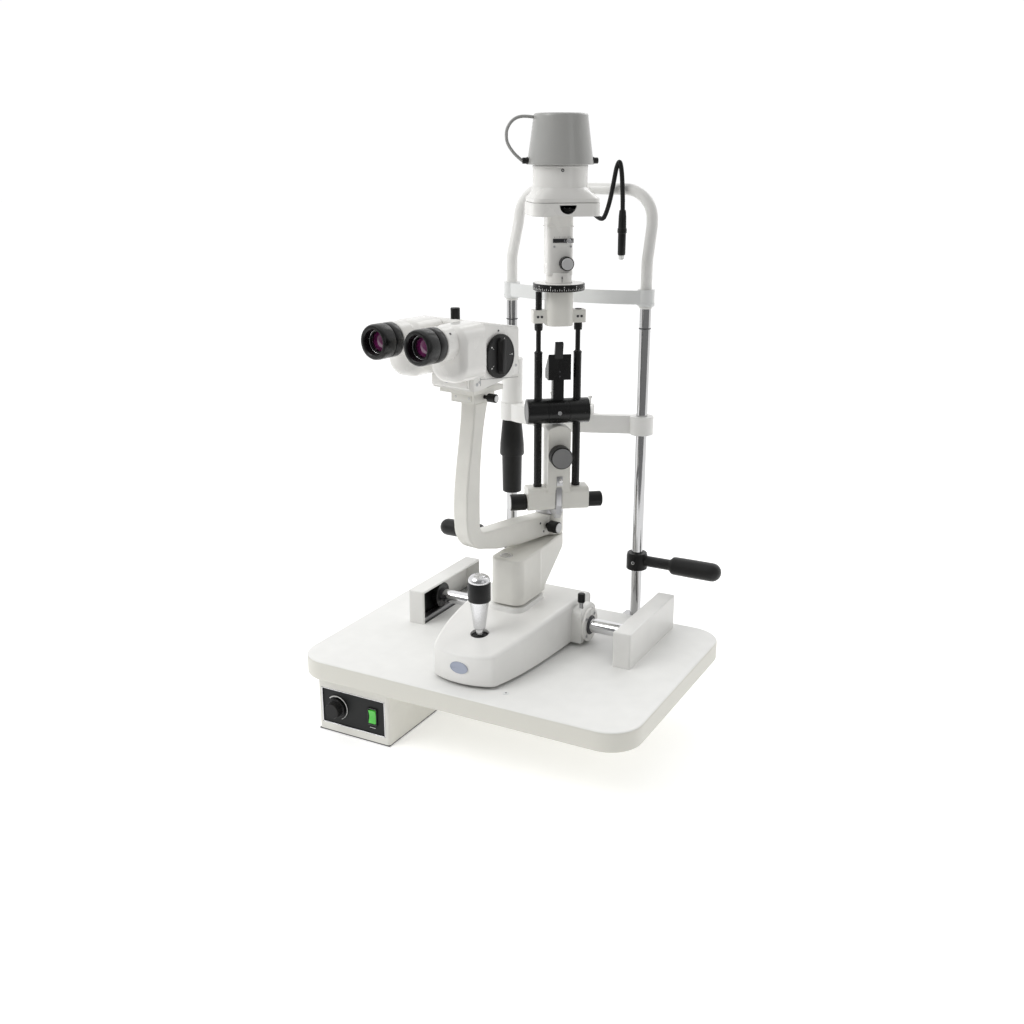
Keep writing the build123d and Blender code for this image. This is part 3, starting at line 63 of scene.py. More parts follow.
def turn(degrees, axis):
    return Matrix.Rotation(math.radians(degrees), 4, axis)


def shift(x, y, z):
    return Matrix.Translation((x, y, z))


WORLD = Matrix.Identity(4)
SCOPE = shift(0, PIVOT_Y, 0) @ turn(SCOPE_ANGLE, "Z")
LAMP = shift(0, PIVOT_Y, 0) @ turn(LAMP_ANGLE, "Z")
TOWER = LAMP @ shift(0, -TOWER_R, 0)
ALONG_X = turn(90, "Y")
ALONG_BACK_X = turn(-90, "Y")
TO_FRONT = turn(90, "X")
TO_REAR = turn(-90, "X")
SIDES = (("right", 1, ALONG_X), ("left", -1, ALONG_BACK_X))

# ---------------------------------------------------------------- materials


def material(name, colour, rough=0.4, metal=0.0, mottle=0.04, mottle_scale=40.0, grain=0.0, grain_scale=900.0,
             coat=0.0, soft_edge=0.0006, stretch=(1, 1, 1), rough_spread=0.06, sheen=0.0):
    """Procedural surface: slight colour drift, uneven gloss, fine relief and softened edges."""
    made = bpy.data.materials.new(name)
    made.use_nodes = True
    nodes, links = made.node_tree.nodes, made.node_tree.links
    shader = nodes["Principled BSDF"]
    shader.inputs["Metallic"].default_value = metal
    shader.inputs["Coat Weight"].default_value = coat
    shader.inputs["Coat Roughness"].default_value = 0.08
    shader.inputs["Sheen Weight"].default_value = sheen
    place = nodes.new("ShaderNodeTexCoord")
    squeeze = nodes.new("ShaderNodeMapping")
    squeeze.inputs["Scale"].default_value = stretch
    links.new(place.outputs["Object"], squeeze.inputs["Vector"])
    broad = nodes.new("ShaderNodeTexNoise")
    broad.inputs["Scale"].default_value = mottle_scale
    broad.inputs["Detail"].default_value = 5
    links.new(squeeze.outputs["Vector"], broad.inputs["Vector"])
    ramp = nodes.new("ShaderNodeValToRGB")
    ramp.color_ramp.elements[0].position = 0.3
    ramp.color_ramp.elements[1].position = 0.7
    ramp.color_ramp.elements[0].color = [min(1, c * (1 - mottle)) for c in colour] + [1]
    ramp.color_ramp.elements[1].color = [min(1, c * (1 + mottle)) for c in colour] + [1]
    links.new(broad.outputs["Fac"], ramp.inputs["Fac"])
    links.new(ramp.outputs["Color"], shader.inputs["Base Color"])
    fine = nodes.new("ShaderNodeTexNoise")
    fine.inputs["Scale"].default_value = grain_scale
    fine.inputs["Detail"].default_value = 3
    links.new(squeeze.outputs["Vector"], fine.inputs["Vector"])
    gloss = nodes.new("ShaderNodeMapRange")
    gloss.inputs["To Min"].default_value = max(0.02, rough - rough_spread)
    gloss.inputs["To Max"].default_value = min(1, rough + rough_spread)
    links.new(broad.outputs["Fac"], gloss.inputs["Value"])
    links.new(gloss.outputs["Result"], shader.inputs["Roughness"])
    relief = nodes.new("ShaderNodeBump")
    relief.inputs["Strength"].default_value = grain
    relief.inputs["Distance"].default_value = 0.0003
    links.new(fine.outputs["Fac"], relief.inputs["Height"])
    if soft_edge:
        edge = nodes.new("ShaderNodeBevel")
        edge.samples = 6
        edge.inputs["Radius"].default_value = soft_edge
        links.new(edge.outputs["Normal"], relief.inputs["Normal"])
    links.new(relief.outputs["Normal"], shader.inputs["Normal"])
    return made


def glow(made, colour, strength):
    shader = made.node_tree.nodes["Principled BSDF"]
    shader.inputs["Emission Color"].default_value = (*colour, 1)
    shader.inputs["Emission Strength"].default_value = strength


def paint_side_shade(made, colour):
    """Paint shade into the colour of the faces that look sideways or down, so they read darker than the top.
    """
    nodes, links = made.node_tree.nodes, made.node_tree.links
    shader = nodes["Principled BSDF"]
    facing = nodes.new("ShaderNodeSeparateXYZ")
    geometry = nodes.new("ShaderNodeNewGeometry")
    links.new(geometry.outputs["Normal"], facing.inputs["Vector"])
    upward = nodes.new("ShaderNodeMapRange")
    upward.inputs["From Min"].default_value = 0.5
    upward.inputs["From Max"].default_value = 0.8
    links.new(facing.outputs["Z"], upward.inputs["Value"])
    mix = nodes.new("ShaderNodeMix")
    mix.data_type = "RGBA"
    mix.inputs[6].default_value = (*colour, 1)
    links.new(upward.outputs["Result"], mix.inputs[0])
    links.new(shader.inputs["Base Color"].links[0].from_socket, mix.inputs[7])
    links.new(mix.outputs[2], shader.inputs["Base Color"])


laminate = material("laminate", (0.86, 0.86, 0.84), 0.42, grain=0.25, grain_scale=1600, mottle=0.02,
                    soft_edge=0.001)
# Painted shade: the board's sides and underside get a darker colour than its top.
paint_side_shade(laminate, (0.70, 0.69, 0.63))
gloss_white = material("gloss_white", (0.83, 0.82, 0.79), 0.26, coat=0.35, grain=0.12, grain_scale=700,
                       mottle=0.02, soft_edge=0.0012)
cream = material("cream", (0.765, 0.755, 0.705), 0.36, coat=0.2, grain=0.2, grain_scale=650, mottle=0.025,
                 soft_edge=0.0012)
moulded_white = material("moulded_white", (0.84, 0.835, 0.81), 0.34, grain=0.16, grain_scale=1100,
                         mottle=0.02, soft_edge=0.001, coat=0.1)
black_plastic = material("black_plastic", (0.009, 0.009, 0.009), 0.36, grain=0.5, grain_scale=1500,
                         mottle=0.15)
black_metal = material("black_metal", (0.007, 0.007, 0.007), 0.28, grain=0.25, grain_scale=1300, mottle=0.2,
                       coat=0.15, soft_edge=0.0004)
black_gloss = material("black_gloss", (0.012, 0.012, 0.013), 0.16, grain=0.1, mottle=0.1, coat=0.3)
rubber = material("rubber", (0.011, 0.011, 0.011), 0.46, grain=0.7, grain_scale=1800, mottle=0.2, sheen=0.15)
chrome = material("chrome", (0.78, 0.78, 0.79), 0.07, 1.0, grain=0.04, mottle=0.03, stretch=(1, 1, 0.1),
                  rough_spread=0.03, soft_edge=0.0003)
post_chrome = material("post_chrome", (0.52, 0.52, 0.525), 0.09, 1.0, grain=0.04, mottle=0.04,
                       stretch=(1, 1, 0.1), rough_spread=0.03, soft_edge=0.0003)
steel = material("steel", (0.50, 0.50, 0.51), 0.3, 1.0, grain=0.3, grain_scale=700, mottle=0.08,
                 stretch=(6, 1, 1), soft_edge=0.0003)
satin_alu = material("satin_alu", (0.70, 0.70, 0.71), 0.24, 1.0, grain=0.25, grain_scale=1200, mottle=0.04,
                     stretch=(1, 1, 5))
disc_alu = material("disc_alu", (0.60, 0.60, 0.60), 0.42, 0.6, grain=0.35, grain_scale=1500, mottle=0.05)
knob_face = material("knob_face", (0.22, 0.22, 0.22), 0.5, 0.4, grain=0.35, grain_scale=1500, mottle=0.05)
cap_grey = material("cap_grey", (0.40, 0.40, 0.385), 0.31, coat=0.3, grain=0.25, grain_scale=900, mottle=0.02)
lead_grey = material("lead_grey", (0.36, 0.36, 0.35), 0.55, grain=0.35, grain_scale=1200, mottle=0.05,
                     sheen=0.1)
dark_panel = material("dark_panel", (0.008, 0.009, 0.009), 0.4, grain=0.4, grain_scale=1400, mottle=0.15)
mark_white = material("mark_white", (0.85, 0.85, 0.83), 0.5, grain=0.1, mottle=0.02, soft_edge=0)
mark_dark = material("mark_dark", (0.05, 0.05, 0.055), 0.5, grain=0.2, mottle=0.1, soft_edge=0)
badge_blue = material("badge_blue", (0.33, 0.36, 0.44), 0.32, 0.5, grain=0.2, mottle=0.04, soft_edge=0.0002)
core_brown = material("core_brown", (0.10, 0.075, 0.05), 0.6, grain=0.8, mottle=0.3)
silver_mirror = material("silver_mirror", (0.88, 0.88, 0.89), 0.03, 1.0, mottle=0.01, rough_spread=0.01)
green_lens = material("green_lens", (0.05, 0.34, 0.04), 0.25, coat=0.3, mottle=0.25, mottle_scale=160)
glow(green_lens, (0.08, 0.62, 0.05), 0.35)
lens_purple = material("lens_purple", (0.16, 0.012, 0.10), 0.05, coat=1.0, mottle=0.5, mottle_scale=55,
                       soft_edge=0)
lens_clear = material("lens_clear", (0.28, 0.33, 0.38), 0.04, coat=1.0, mottle=0.1, soft_edge=0)
bulb_glass = material("bulb_glass", (0.80, 0.80, 0.74), 0.08, coat=0.6, mottle=0.05, soft_edge=0)
band_white = material("band_white", (0.80, 0.81, 0.80), 0.3, coat=0.2, grain=0.2, mottle=0.02)
for dark in (black_plastic, black_metal, black_gloss, rubber, dark_panel):
    dark.node_tree.nodes["Principled BSDF"].inputs["Specular IOR Level"].default_value = 0.28

CAD_FINISH = {
    "table_board": laminate, "right_rail_cover": moulded_white, "left_rail_cover": moulded_white,
    "racks": steel, "power_box_case": cream, "power_box_panel": dark_panel, "dimmer_knob": black_plastic,
    "rocker_switch": green_lens, "transformer": core_brown, "mains_inlet": black_plastic,
    "axle_bearings": black_plastic, "axle_shaft": chrome, "axle_pinions": black_metal,
    "base_cover": moulded_white, "base_plate": satin_alu, "axle_bushes": gloss_white,
    "base_lock_knob": black_plastic, "column_guide": steel, "joystick_ball": steel, "joystick_stem": chrome,
    "joystick_grip": satin_alu, "column_bracket": cream, "microscope_arm": cream,
    "swing_lock_knob": black_plastic, "microscope_carriage": cream, "carriage_knob": black_plastic,
    "microscope_body": gloss_white, "magnification_dial": black_plastic, "magnification_drum": black_metal,
    "objective_lenses": lens_clear, "left_ocular_housing": gloss_white, "right_ocular_housing": gloss_white,
    "left_eyepiece": black_metal, "right_eyepiece": black_metal, "illumination_arm": steel,
    "tower_foot": cream, "slit_width_knobs": black_plastic, "centring_knob": black_plastic,
    "tower_rods": black_metal, "mirror_holder": black_metal, "mirror": silver_mirror,
    "projection_housing": cream, "scale_ring": black_metal, "slit_housing": gloss_white,
    "slit_knob": black_plastic, "filter_lever": chrome, "filter_housing": gloss_white,
    "filter_disc": black_metal, "lamp_house": gloss_white, "lamp_bulb": bulb_glass, "lamp_cap": cap_grey,
    "lamp_lead": lead_grey, "headrest_posts": post_chrome, "headrest_arch": moulded_white,
    "forehead_band": band_white, "chin_rest": moulded_white, "height_sleeve": black_plastic,
    "left_hand_grip": rubber, "right_hand_grip": rubber, "fixation_arm": black_plastic,
}
for node, finish in CAD_FINISH.items():
    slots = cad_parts[node].data.materials
    for index in range(len(slots)):
        slots[index] = finish
    if not slots:
        slots.append(finish)

# ---------------------------------------------------------------- mesh helpers


def finish_mesh(name, bm, look, matrix, body, smooth=35):
    """Turn a bmesh in millimetres into a piece that rides on a body."""
    bmesh.ops.recalc_face_normals(bm, faces=bm.faces)
    mesh = bpy.data.meshes.new(name)
    bm.to_mesh(mesh)
    bm.free()
    mesh.transform(Matrix.Scale(MM, 4) @ matrix)
    mesh.materials.append(look)
    piece = bpy.data.objects.new(name, mesh)
    bpy.context.scene.collection.objects.link(piece)
    mesh.shade_smooth()
    mesh.set_sharp_from_angle(angle=math.radians(smooth))
    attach(piece, body)
    return piece


def add_lathe(bm, profile, matrix, steps=72, ribs=0, rib_depth=0.0, rib_span=(0, 0)):
    """Spin a profile of (radius, height) about Z; the heights in rib_span may be ribbed."""
    rings = []
    for radius, height in profile:
        ring = []
        if radius <= 1e-6:
            ring = [bm.verts.new(matrix @ Vector((0, 0, height)))]
        else:
            for step in range(steps):
                angle = 2 * math.pi * step / steps
                reach = radius
                if ribs and rib_span[0] <= height <= rib_span[1]:
                    reach -= rib_depth * (0.5 + 0.5 * math.cos(ribs * angle)) ** 2
                at = Vector((reach * math.cos(angle), reach * math.sin(angle), height))
                ring.append(bm.verts.new(matrix @ at))
        rings.append(ring)
    for low, high in zip(rings, rings[1:]):
        for step in range(steps):
            after = (step + 1) % steps
            if len(low) == 1 and len(high) == 1:
                continue
            if len(low) == 1:
                bm.faces.new((low[0], high[after], high[step]))
            elif len(high) == 1:
                bm.faces.new((low[step], low[after], high[0]))
            else:
                bm.faces.new((low[step], low[after], high[after], high[step]))


def lathe(name, profile, matrix, look, body, slot, **options):
    bm = bmesh.new()
    add_lathe(bm, profile, WORLD, **options)
    return finish_mesh(name, bm, look, matrix, body)


def add_block(bm, size, matrix, bevel=0.0, segments=3):
    """A block with rounded edges."""
    made = bmesh.ops.create_cube(bm, size=1.0)
    verts = made["verts"]
    bmesh.ops.scale(bm, vec=size, verts=verts)
    if bevel:
        edges = list({edge for vert in verts for edge in vert.link_edges})
        rounded = bmesh.ops.bevel(bm, geom=edges, offset=bevel, segments=segments, affect="EDGES",
                                  profile=0.5)
        fresh = {vert for face in rounded["faces"] for vert in face.verts}
        verts = list(fresh | {vert for vert in verts if vert.is_valid})
    bmesh.ops.transform(bm, matrix=matrix, verts=verts)


def block(name, size, matrix, look, body, bevel=0.4, segments=3):
    bm = bmesh.new()
    add_block(bm, size, WORLD, bevel, segments)
    return finish_mesh(name, bm, look, matrix, body)


def screws(name, spots, radius, look, body, depth=0.9):
    """Hexagon socket screw heads, each standing slightly proud."""
    bm = bmesh.new()
    for matrix in spots:
        profile = [(radius, -0.3), (radius, depth * 0.75), (radius * 0.88, depth), (radius * 0.52, depth)]
        profile += [(radius * 0.52, depth * 0.15), (0, depth * 0.15)]
        add_lathe(bm, profile, matrix, steps=24)
    return finish_mesh(name, bm, look, WORLD, body)


def marks(name, spots, look, body, bevel=0.0):
    """Many little blocks as one piece: scale marks, dots and lines."""
    bm = bmesh.new()
    for size, matrix in spots:
        add_block(bm, size, matrix, bevel, 1)
    return finish_mesh(name, bm, look, WORLD, body)


def tube(name, points, radius, matrix, look, body):
    """A smooth round tube along a NURBS line, with closed ends."""
    curve = bpy.data.curves.new(name, "CURVE")
    curve.dimensions = "3D"
    curve.bevel_depth = radius * MM
    curve.bevel_resolution = 6
    curve.resolution_u = 10
    curve.use_fill_caps = True
    spline = curve.splines.new("NURBS")
    spline.points.add(len(points) - 1)
    for target, point in zip(spline.points, points):
        target.co = (*(MM * (matrix @ Vector(point))), 1)
    spline.order_u = 3
    spline.use_endpoint_u = True
    temp = bpy.data.objects.new(name + "_line", curve)
    mesh = bpy.data.meshes.new_from_object(temp)
    bpy.data.objects.remove(temp)
    mesh.name = name
    mesh.materials.clear()
    mesh.materials.append(look)
    piece = bpy.data.objects.new(name, mesh)
    bpy.context.scene.collection.objects.link(piece)
    mesh.shade_smooth()
    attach(piece, body)
    return piece


# ---------------------------------------------------------------- lamp cap, lead and lamp house
CAP_BOTTOM = 680.2
CAP_TOP = 743
cap_profile = [(40.6, CAP_BOTTOM + 1), (41.2, CAP_BOTTOM), (42.4, CAP_BOTTOM), (43, CAP_BOTTOM + 0.8),
               (42.5, CAP_BOTTOM + 5), (38.7, 712), (35.35, 737.5)]
for step in range(1, 7):
    angle = math.pi / 2 * step / 6
    cap_profile.append((35.3 - 3.6 * (1 - math.cos(angle)), 739 + 4 * math.sin(angle)))
cap_profile += [(20, CAP_TOP), (0, CAP_TOP)]
cap_inside = [(0, 740), (31.5, 740), (32.6, 738), (40.6, CAP_BOTTOM + 1)]
cap = lathe("cap_shell", cap_profile + cap_inside, TOWER, cap_grey, "lamp_cap", "lamp_cap_grey", steps=96)
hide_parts("lamp_cap")
for side, sign, aim in SIDES:
    plug = [(0, -1.5), (3.2, -1.5), (3.2, 0), (4.6, 0.2), (4.6, 1.6), (3.9, 2), (3.9, 6.4), (3.5, 7.2),
            (0, 7.2)]
    lathe(f"cap_plug_{side}", plug, TOWER @ shift(sign * 42.6, 0, 685) @ aim, rubber, "lamp_cap", "lead_grey",
          steps=40)
lead_route = ((-32.6, 0, 737.6), (-48, 0, 740), (-61.5, 0, 736), (-69.5, 0, 725.5), (-71, 0, 716),
              (-69.5, 0, 706), (-61.5, 0, 694.5), (-51.8, 0, 686.2), (-49.8, 0, 684.8))
lead = tube("lamp_lead_skin", lead_route, 2.05, TOWER, lead_grey, "lamp_cap")
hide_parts("lamp_lead")

house_screws = [TOWER @ turn(angle, "Z") @ shift(0, -35.4, 673.5) @ TO_FRONT for angle in (-7, 113, 233)]
screws("lamp_house_screws", house_screws, 2.0, mark_dark, "lamp_head")
lathe("lamp_house_lip", [(35.2, 0), (36.1, 0.4), (36.1, 2.4), (35.2, 2.8)], TOWER @ shift(0, 0, 676.4),
      gloss_white, "lamp_head", "white_paint", steps=96)

# ---------------------------------------------------------------- filter window, slit housing, scale ring
DISC_T = 13
window_marks = []
for step in range(-3, 4):
    angle = 16 * step
    spot = LAMP @ shift(DISC_T, -57, 627.4) @ turn(angle, "Z") @ shift(0, -25.5, 0)
    window_marks.append(((0.7, 2.2, 0.3), spot))
marks("filter_disc_marks", window_marks, mark_white, "filter_disc")
lathe("filter_disc_rim", [(26.6, 0), (27.3, 0.5), (27.3, 4.6), (26.6, 5.1)],
      TOWER @ shift(DISC_T, -10, 621.5), black_plastic, "filter_disc", "aluminium", steps=144, ribs=60,
      rib_depth=0.7, rib_span=(0.4, 4.7))

SLIT_FRONT = 60
slot_parts = []
for height in (587.4, 582.6):
    slot_parts.append(((27, 0.8, 0.7), LAMP @ shift(2.5, -SLIT_FRONT, height)))
for across in (-11, 16):
    slot_parts.append(((0.7, 0.8, 5.4), LAMP @ shift(across, -SLIT_FRONT, 585)))
marks("slit_scale_frame", slot_parts, mark_dark, "lamp_head")
tick_parts = []
for step in range(12):
    tall = 1.6 if step % 3 == 0 else 0.9
    tick_parts.append(((0.35, 0.3, tall), LAMP @ shift(-9.2 + 2.1 * step, -SLIT_FRONT - 0.05, 589.6)))
marks("slit_scale_ticks", tick_parts, mark_dark, "lamp_head")
block("slit_scale_back", (27, 0.6, 3.9), LAMP @ shift(2.5, -SLIT_FRONT + 3.6, 585), mark_dark, "lamp_head",
      bevel=0.1)
slit_screws = [LAMP @ shift(x, -SLIT_FRONT, 577.5) @ TO_FRONT for x in (-9.5, 12.6)]
screws("slit_housing_screws", slit_screws, 1.5, steel, "lamp_head", depth=0.6)
block("slit_housing_cover", (35.4, 31.4, 1.2), LAMP @ shift(-1, -44.5, 603), gloss_white, "lamp_head",
      bevel=0.5)


def knurled(name, radius, length, matrix, look, body, slot, face=None, ribs=48, depth=0.45,
            face_slot="aluminium"):
    """A knob with a ribbed grip and, if asked, a separate pale end disc."""
    profile = [(0, 0), (radius - 1, 0), (radius, 0.8), (radius, length - 1.0), (radius - 0.8, length - 0.2)]
    profile += [(radius - 1.2, length), (0, length)]
    grip = lathe(name, profile, matrix, look, body, slot, steps=ribs * 4, ribs=ribs, rib_depth=depth,
                 rib_span=(1.2, length - 1.1))
    if face:
        plate = [(0, 0), (radius - 1.5, 0), (radius - 1.5, 0.5), (radius - 1.9, 0.9), (0, 0.9)]
        lathe(name + "_face", plate, matrix @ shift(0, 0, length - 0.25), face, body, face_slot, steps=64)
    return grip


slit_grip = knurled("slit_knob_grip", 9.2, 11.3, LAMP @ shift(6, -SLIT_FRONT - 0.4, 556) @ TO_FRONT,
                    black_plastic, "slit_knob", "black_plastic", disc_alu)
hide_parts("slit_knob")
lathe("slit_knob_shaft", [(0, 0), (2.9, 0), (2.9, 8), (0, 8)],
      LAMP @ shift(6, -SLIT_FRONT + 7, 556) @ TO_FRONT, steel, "slit_knob", "chrome", steps=32)
lathe("filter_lever_tip", [(0, 0), (1.4, 0), (1.4, 3), (2.9, 3.6), (3.1, 8), (2.6, 9.4), (0, 9.6)],
      LAMP @ shift(8.5, -SLIT_FRONT - 0.2, 585) @ TO_FRONT, satin_alu, "filter_lever", "chrome", steps=40)

RING_BOTTOM = 520.5
RING_R = 34.7
ring_profile = [(13.3, RING_BOTTOM), (33.9, RING_BOTTOM), (RING_R, RING_BOTTOM + 0.8),
                (RING_R, RING_BOTTOM + 8.7), (34.1, RING_BOTTOM + 9.3), (17.9, RING_BOTTOM + 9.3),
                (17.9, RING_BOTTOM + 2.5), (13.3, RING_BOTTOM + 2.5), (13.3, RING_BOTTOM)]
ring = lathe("scale_ring_skin", ring_profile, TOWER, black_metal, "tower", "aluminium", steps=180)
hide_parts("scale_ring")
lathe("scale_ring_top", [(18, 9.2), (33.3, 9.2), (33.3, 9.45), (18, 9.45), (18, 9.2)],
      TOWER @ shift(0, 0, RING_BOTTOM), gloss_white, "tower", "cream_paint", steps=96)
ring_ticks = []
for step in range(72):
    tall = 3.6 if step % 6 == 0 else (2.7 if step % 2 == 0 else 1.7)
    spot = TOWER @ turn(5 * step, "Z") @ shift(0, -RING_R, RING_BOTTOM + 1.6 + tall / 2)
    ring_ticks.append(((0.55, 0.25, tall), spot))
marks("scale_ring_ticks", ring_ticks, mark_white, "tower")
ring_dots = [((1.3, 0.25, 1.1), TOWER @ turn(30 * step, "Z") @ shift(0, -RING_R, RING_BOTTOM + 6.8))
             for step in range(12)]
marks("scale_ring_dots", ring_dots, mark_white, "tower", bevel=0.1)
marks("slit_angle_pointer", [((0.6, 0.5, 8), TOWER @ shift(0.5, -17.4, 535.6)),
                             ((1.6, 0.8, 1.6), TOWER @ shift(0.5, -17.6, 537.5))], mark_dark, "lamp_head",
      bevel=0.1)

# ---------------------------------------------------------------- projection housing and rods
clamp_spots = []
for sign in (1, -1):
    for offset in (-2.6, 2.6):
        clamp_spots.append(LAMP @ shift(sign * ROD_X + offset, -56, 486) @ TO_FRONT)
screws("clamp_screws", clamp_spots, 1.7, mark_dark, "tower", depth=0.5)
lathe("projection_lens_skin", [(0, -3.2), (6, -2.9), (10, -1.6), (12.2, 0), (12.2, 1.5), (0, 1.5)],
      TOWER @ shift(0, 0, 478.2), lens_clear, "tower", "glass", steps=64)
lathe("projection_lens_ring", [(12, -1.6), (13.3, -1.6), (13.3, 2), (12, 2), (12, -1.6)],
      TOWER @ shift(0, 0, 475.4), black_metal, "tower", "black_metal", steps=64)
for side, sign, aim in SIDES:
    at = TOWER @ shift(sign * ROD_X, 0, 0)
    lathe(f"rod_sleeve_{side}", [(5.6, 0), (5.95, 0.3), (5.95, 3.2), (5.6, 3.6)], at @ shift(0, 0, 249.2),
          black_metal, "tower", "black_metal", steps=40)
    lathe(f"rod_step_{side}", [(5.4, 0), (5.8, 0.3), (5.8, 2), (3.6, 3.8)], at @ shift(0, 0, 435.5),
          black_metal, "tower", "black_metal", steps=40)
    lathe(f"rod_collar_{side}", [(3.5, 0), (5.7, 1.4), (5.7, 6.4), (5.3, 6.8)], at @ shift(0, 0, 468.4),
          black_metal, "tower", "black_metal", steps=40)
    lathe(f"barrel_end_{side}", [(0, -0.2), (15.4, -0.2), (15.4, 0.3), (14.8, 0.7), (13.2, 0.7), (12.8, 0.3),
                                 (0, 0.3)], TOWER @ shift(sign * 42.8, 0, BARREL_Z) @ aim, knob_face, "tower",
          "black_metal", steps=72)
screws("barrel_screw", [LAMP @ shift(0, -64, BARREL_Z) @ TO_FRONT], 2.7, steel, "mirror", depth=1.4)
screws("mirror_block_screws", [LAMP @ shift(0, -60, z) @ TO_FRONT for z in (406, 412.5)], 1.3, mark_dark,
       "mirror", depth=0.5)
lathe("mirror_side_pin", [(0, 0), (1.6, 0), (1.6, 1.8), (0, 2.2)], LAMP @ shift(15.4, -52, 409) @ ALONG_X,
      steel, "mirror", "chrome", steps=24)

# ---------------------------------------------------------------- tower foot
WIDTH_GRIPS = {"right": (10.8, 20.6, black_plastic, "black_plastic"),
               "left": (11.5, 22.2, disc_alu, "aluminium")}
for side, sign, aim in SIDES:
    radius, length, end_look, end_slot = WIDTH_GRIPS[side]
    knurled(f"slit_width_grip_{side}", radius, length, TOWER @ shift(sign * 43.7, 0, WIDTH_SHAFT_Z) @ aim,
            black_plastic, "slit_width", "black_plastic", end_look, ribs=44, depth=0.5, face_slot=end_slot)
shaft = lathe("slit_width_shaft", [(0, -60), (3.9, -60), (3.9, 60), (0, 60)],
              TOWER @ shift(0, 0, WIDTH_SHAFT_Z) @ ALONG_X, steel, "slit_width", "steel", steps=32)
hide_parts("slit_width_knobs")
shaft = lathe("centring_shaft", [(0, 0), (3.9, 0), (3.9, 16), (0, 16)],
              LAMP @ shift(0, -50, CENTRING_Z) @ TO_FRONT, steel, "centring", "steel", steps=32)
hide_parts("centring_knob")
knurled("centring_grip", 15.3, 18, LAMP @ shift(0, -65.3, CENTRING_Z) @ TO_FRONT, black_plastic, "centring",
        "black_plastic", knob_face, ribs=60, depth=0.5, face_slot="black_plastic")
block("tilt_latch_base", (8.6, 1.6, 13), LAMP @ shift(0.6, -65.6, 260), steel, "tower", bevel=0.5)
lathe("tilt_latch_lever", [(0, 0), (2.6, 0), (2.6, 5.6), (2, 6.2), (0, 6.2)],
      LAMP @ shift(1.2, -65.8, 262.5) @ TO_FRONT @ turn(18, "X"), chrome, "tower", "chrome", steps=32)
block("tilt_strip", (7.6, 1.2, 27), LAMP @ shift(0, -65.1, 237.5), steel, "illumination", bevel=0.3)

# ---------------------------------------------------------------- microscope
DIAL = SCOPE @ shift(BODY_SIDE, DIAL_Y, 449) @ ALONG_X
dial_profile = [(0, 0.5), (27.2, 0.5), (28, 1.2), (28, 3.6), (27.4, 4.3), (25.6, 4.6), (25.2, 4.2), (0, 4.2)]
dial = lathe("dial_disc", dial_profile, DIAL, black_plastic, "magnification", "black_plastic", steps=120)
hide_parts("magnification_dial")
bm = bmesh.new()
outline = []
for step in range(13):
    angle = math.pi * step / 12
    outline.append((5.4 * math.cos(angle), 17.5 + 5.4 * math.sin(angle)))
outline += [(-x, -y) for x, y in outline]
levels = ((1.18, 3.6), (1.0, 4.6), (0.92, 9.6), (0.78, 10.7))
rings = [[bm.verts.new((y * (1 if scale > 0.9 else 0.96), x * scale, height)) for x, y in outline]
         for scale, height in levels]
for low, high in zip(rings, rings[1:]):
    for step in range(len(outline)):
        after = (step + 1) % len(outline)
        bm.faces.new((low[step], low[after], high[after], high[step]))
bm.faces.new(rings[-1])
finish_mesh("dial_bar", bm, black_plastic, DIAL, "magnification", smooth=50)
for index in range(5):
    dot = DIAL @ turn(72 * index + 90, "Z") @ shift(22.6, 0, 4.0)
    lathe(f"dial_dot_{index}", [(0, 0), (1.05, 0), (1.05, 0.35), (0.8, 0.6), (0, 0.6)], dot, mark_white,
          "magnification", "aluminium", steps=20)
dashes = [((1.8, 0.4, 0.3), DIAL @ turn(72 * index + 90, "Z") @ shift(18.6, 0, 4.3)) for index in range(5)]
marks("dial_dashes", dashes, mark_white, "magnification")
lathe("dial_pointer", [(0, 0), (1.3, 0), (1.3, 0.5), (0, 0.7)],
      SCOPE @ shift(BODY_SIDE, DIAL_Y, 481) @ ALONG_X, mark_dark, "microscope", "black_metal", steps=20)

lathe("test_rod_socket", [(0, 0), (5.8, 0), (5.9, 0.3), (5.9, 17.7), (5.4, 18.3), (0, 18.3)],
      SCOPE @ shift(0, -203, 493.2), black_plastic, "microscope", "black_plastic", steps=40)
body_screws = [SCOPE @ shift(BODY_SIDE, y, z) @ ALONG_X for y, z in ((-198, 421), (-124, 432))]
screws("microscope_body_screws", body_screws, 2.0, steel, "microscope", depth=0.4)
screws("housing_screw", [SCOPE @ shift(BODY_SIDE, -203, 418.6) @ ALONG_X,
                         SCOPE @ shift(18, -212, 419.5) @ TO_FRONT], 2.2, steel, "microscope",
       depth=0.6)
marks("body_joint_lines", [((0.5, 0.4, 78), SCOPE @ shift(BODY_SIDE, -196, 455)),
                           ((0.5, 78, 0.4), SCOPE @ shift(BODY_SIDE, -158, 420.2) @ turn(-6, "X"))],
      mark_dark, "microscope")
block("prism_bracket", (60, 5, 15), SCOPE @ shift(0, -214.2, 421), gloss_white, "microscope",
      bevel=1.8)
screws("prism_bracket_screws", [SCOPE @ shift(-4, -216.7, 421) @ TO_FRONT], 2.4, steel,
       "microscope", depth=0.8)
block("dovetail_plate", (30, 1.2, 8.5), SCOPE @ shift(0, -191.2, 396.5), cream, "microscope",
      bevel=0.5)
marks("dovetail_lines", [((29, 0.3, 0.5), SCOPE @ shift(0, -191.3, 401.4)),
                         ((0.3, 40, 0.5), SCOPE @ shift(19.05, -170.5, 402.6))], mark_dark, "microscope")
screws("carriage_screws", [SCOPE @ shift(x, -191.4, 396.5) @ TO_FRONT for x in (-11, 11)], 1.6, steel,
       "microscope", depth=0.5)

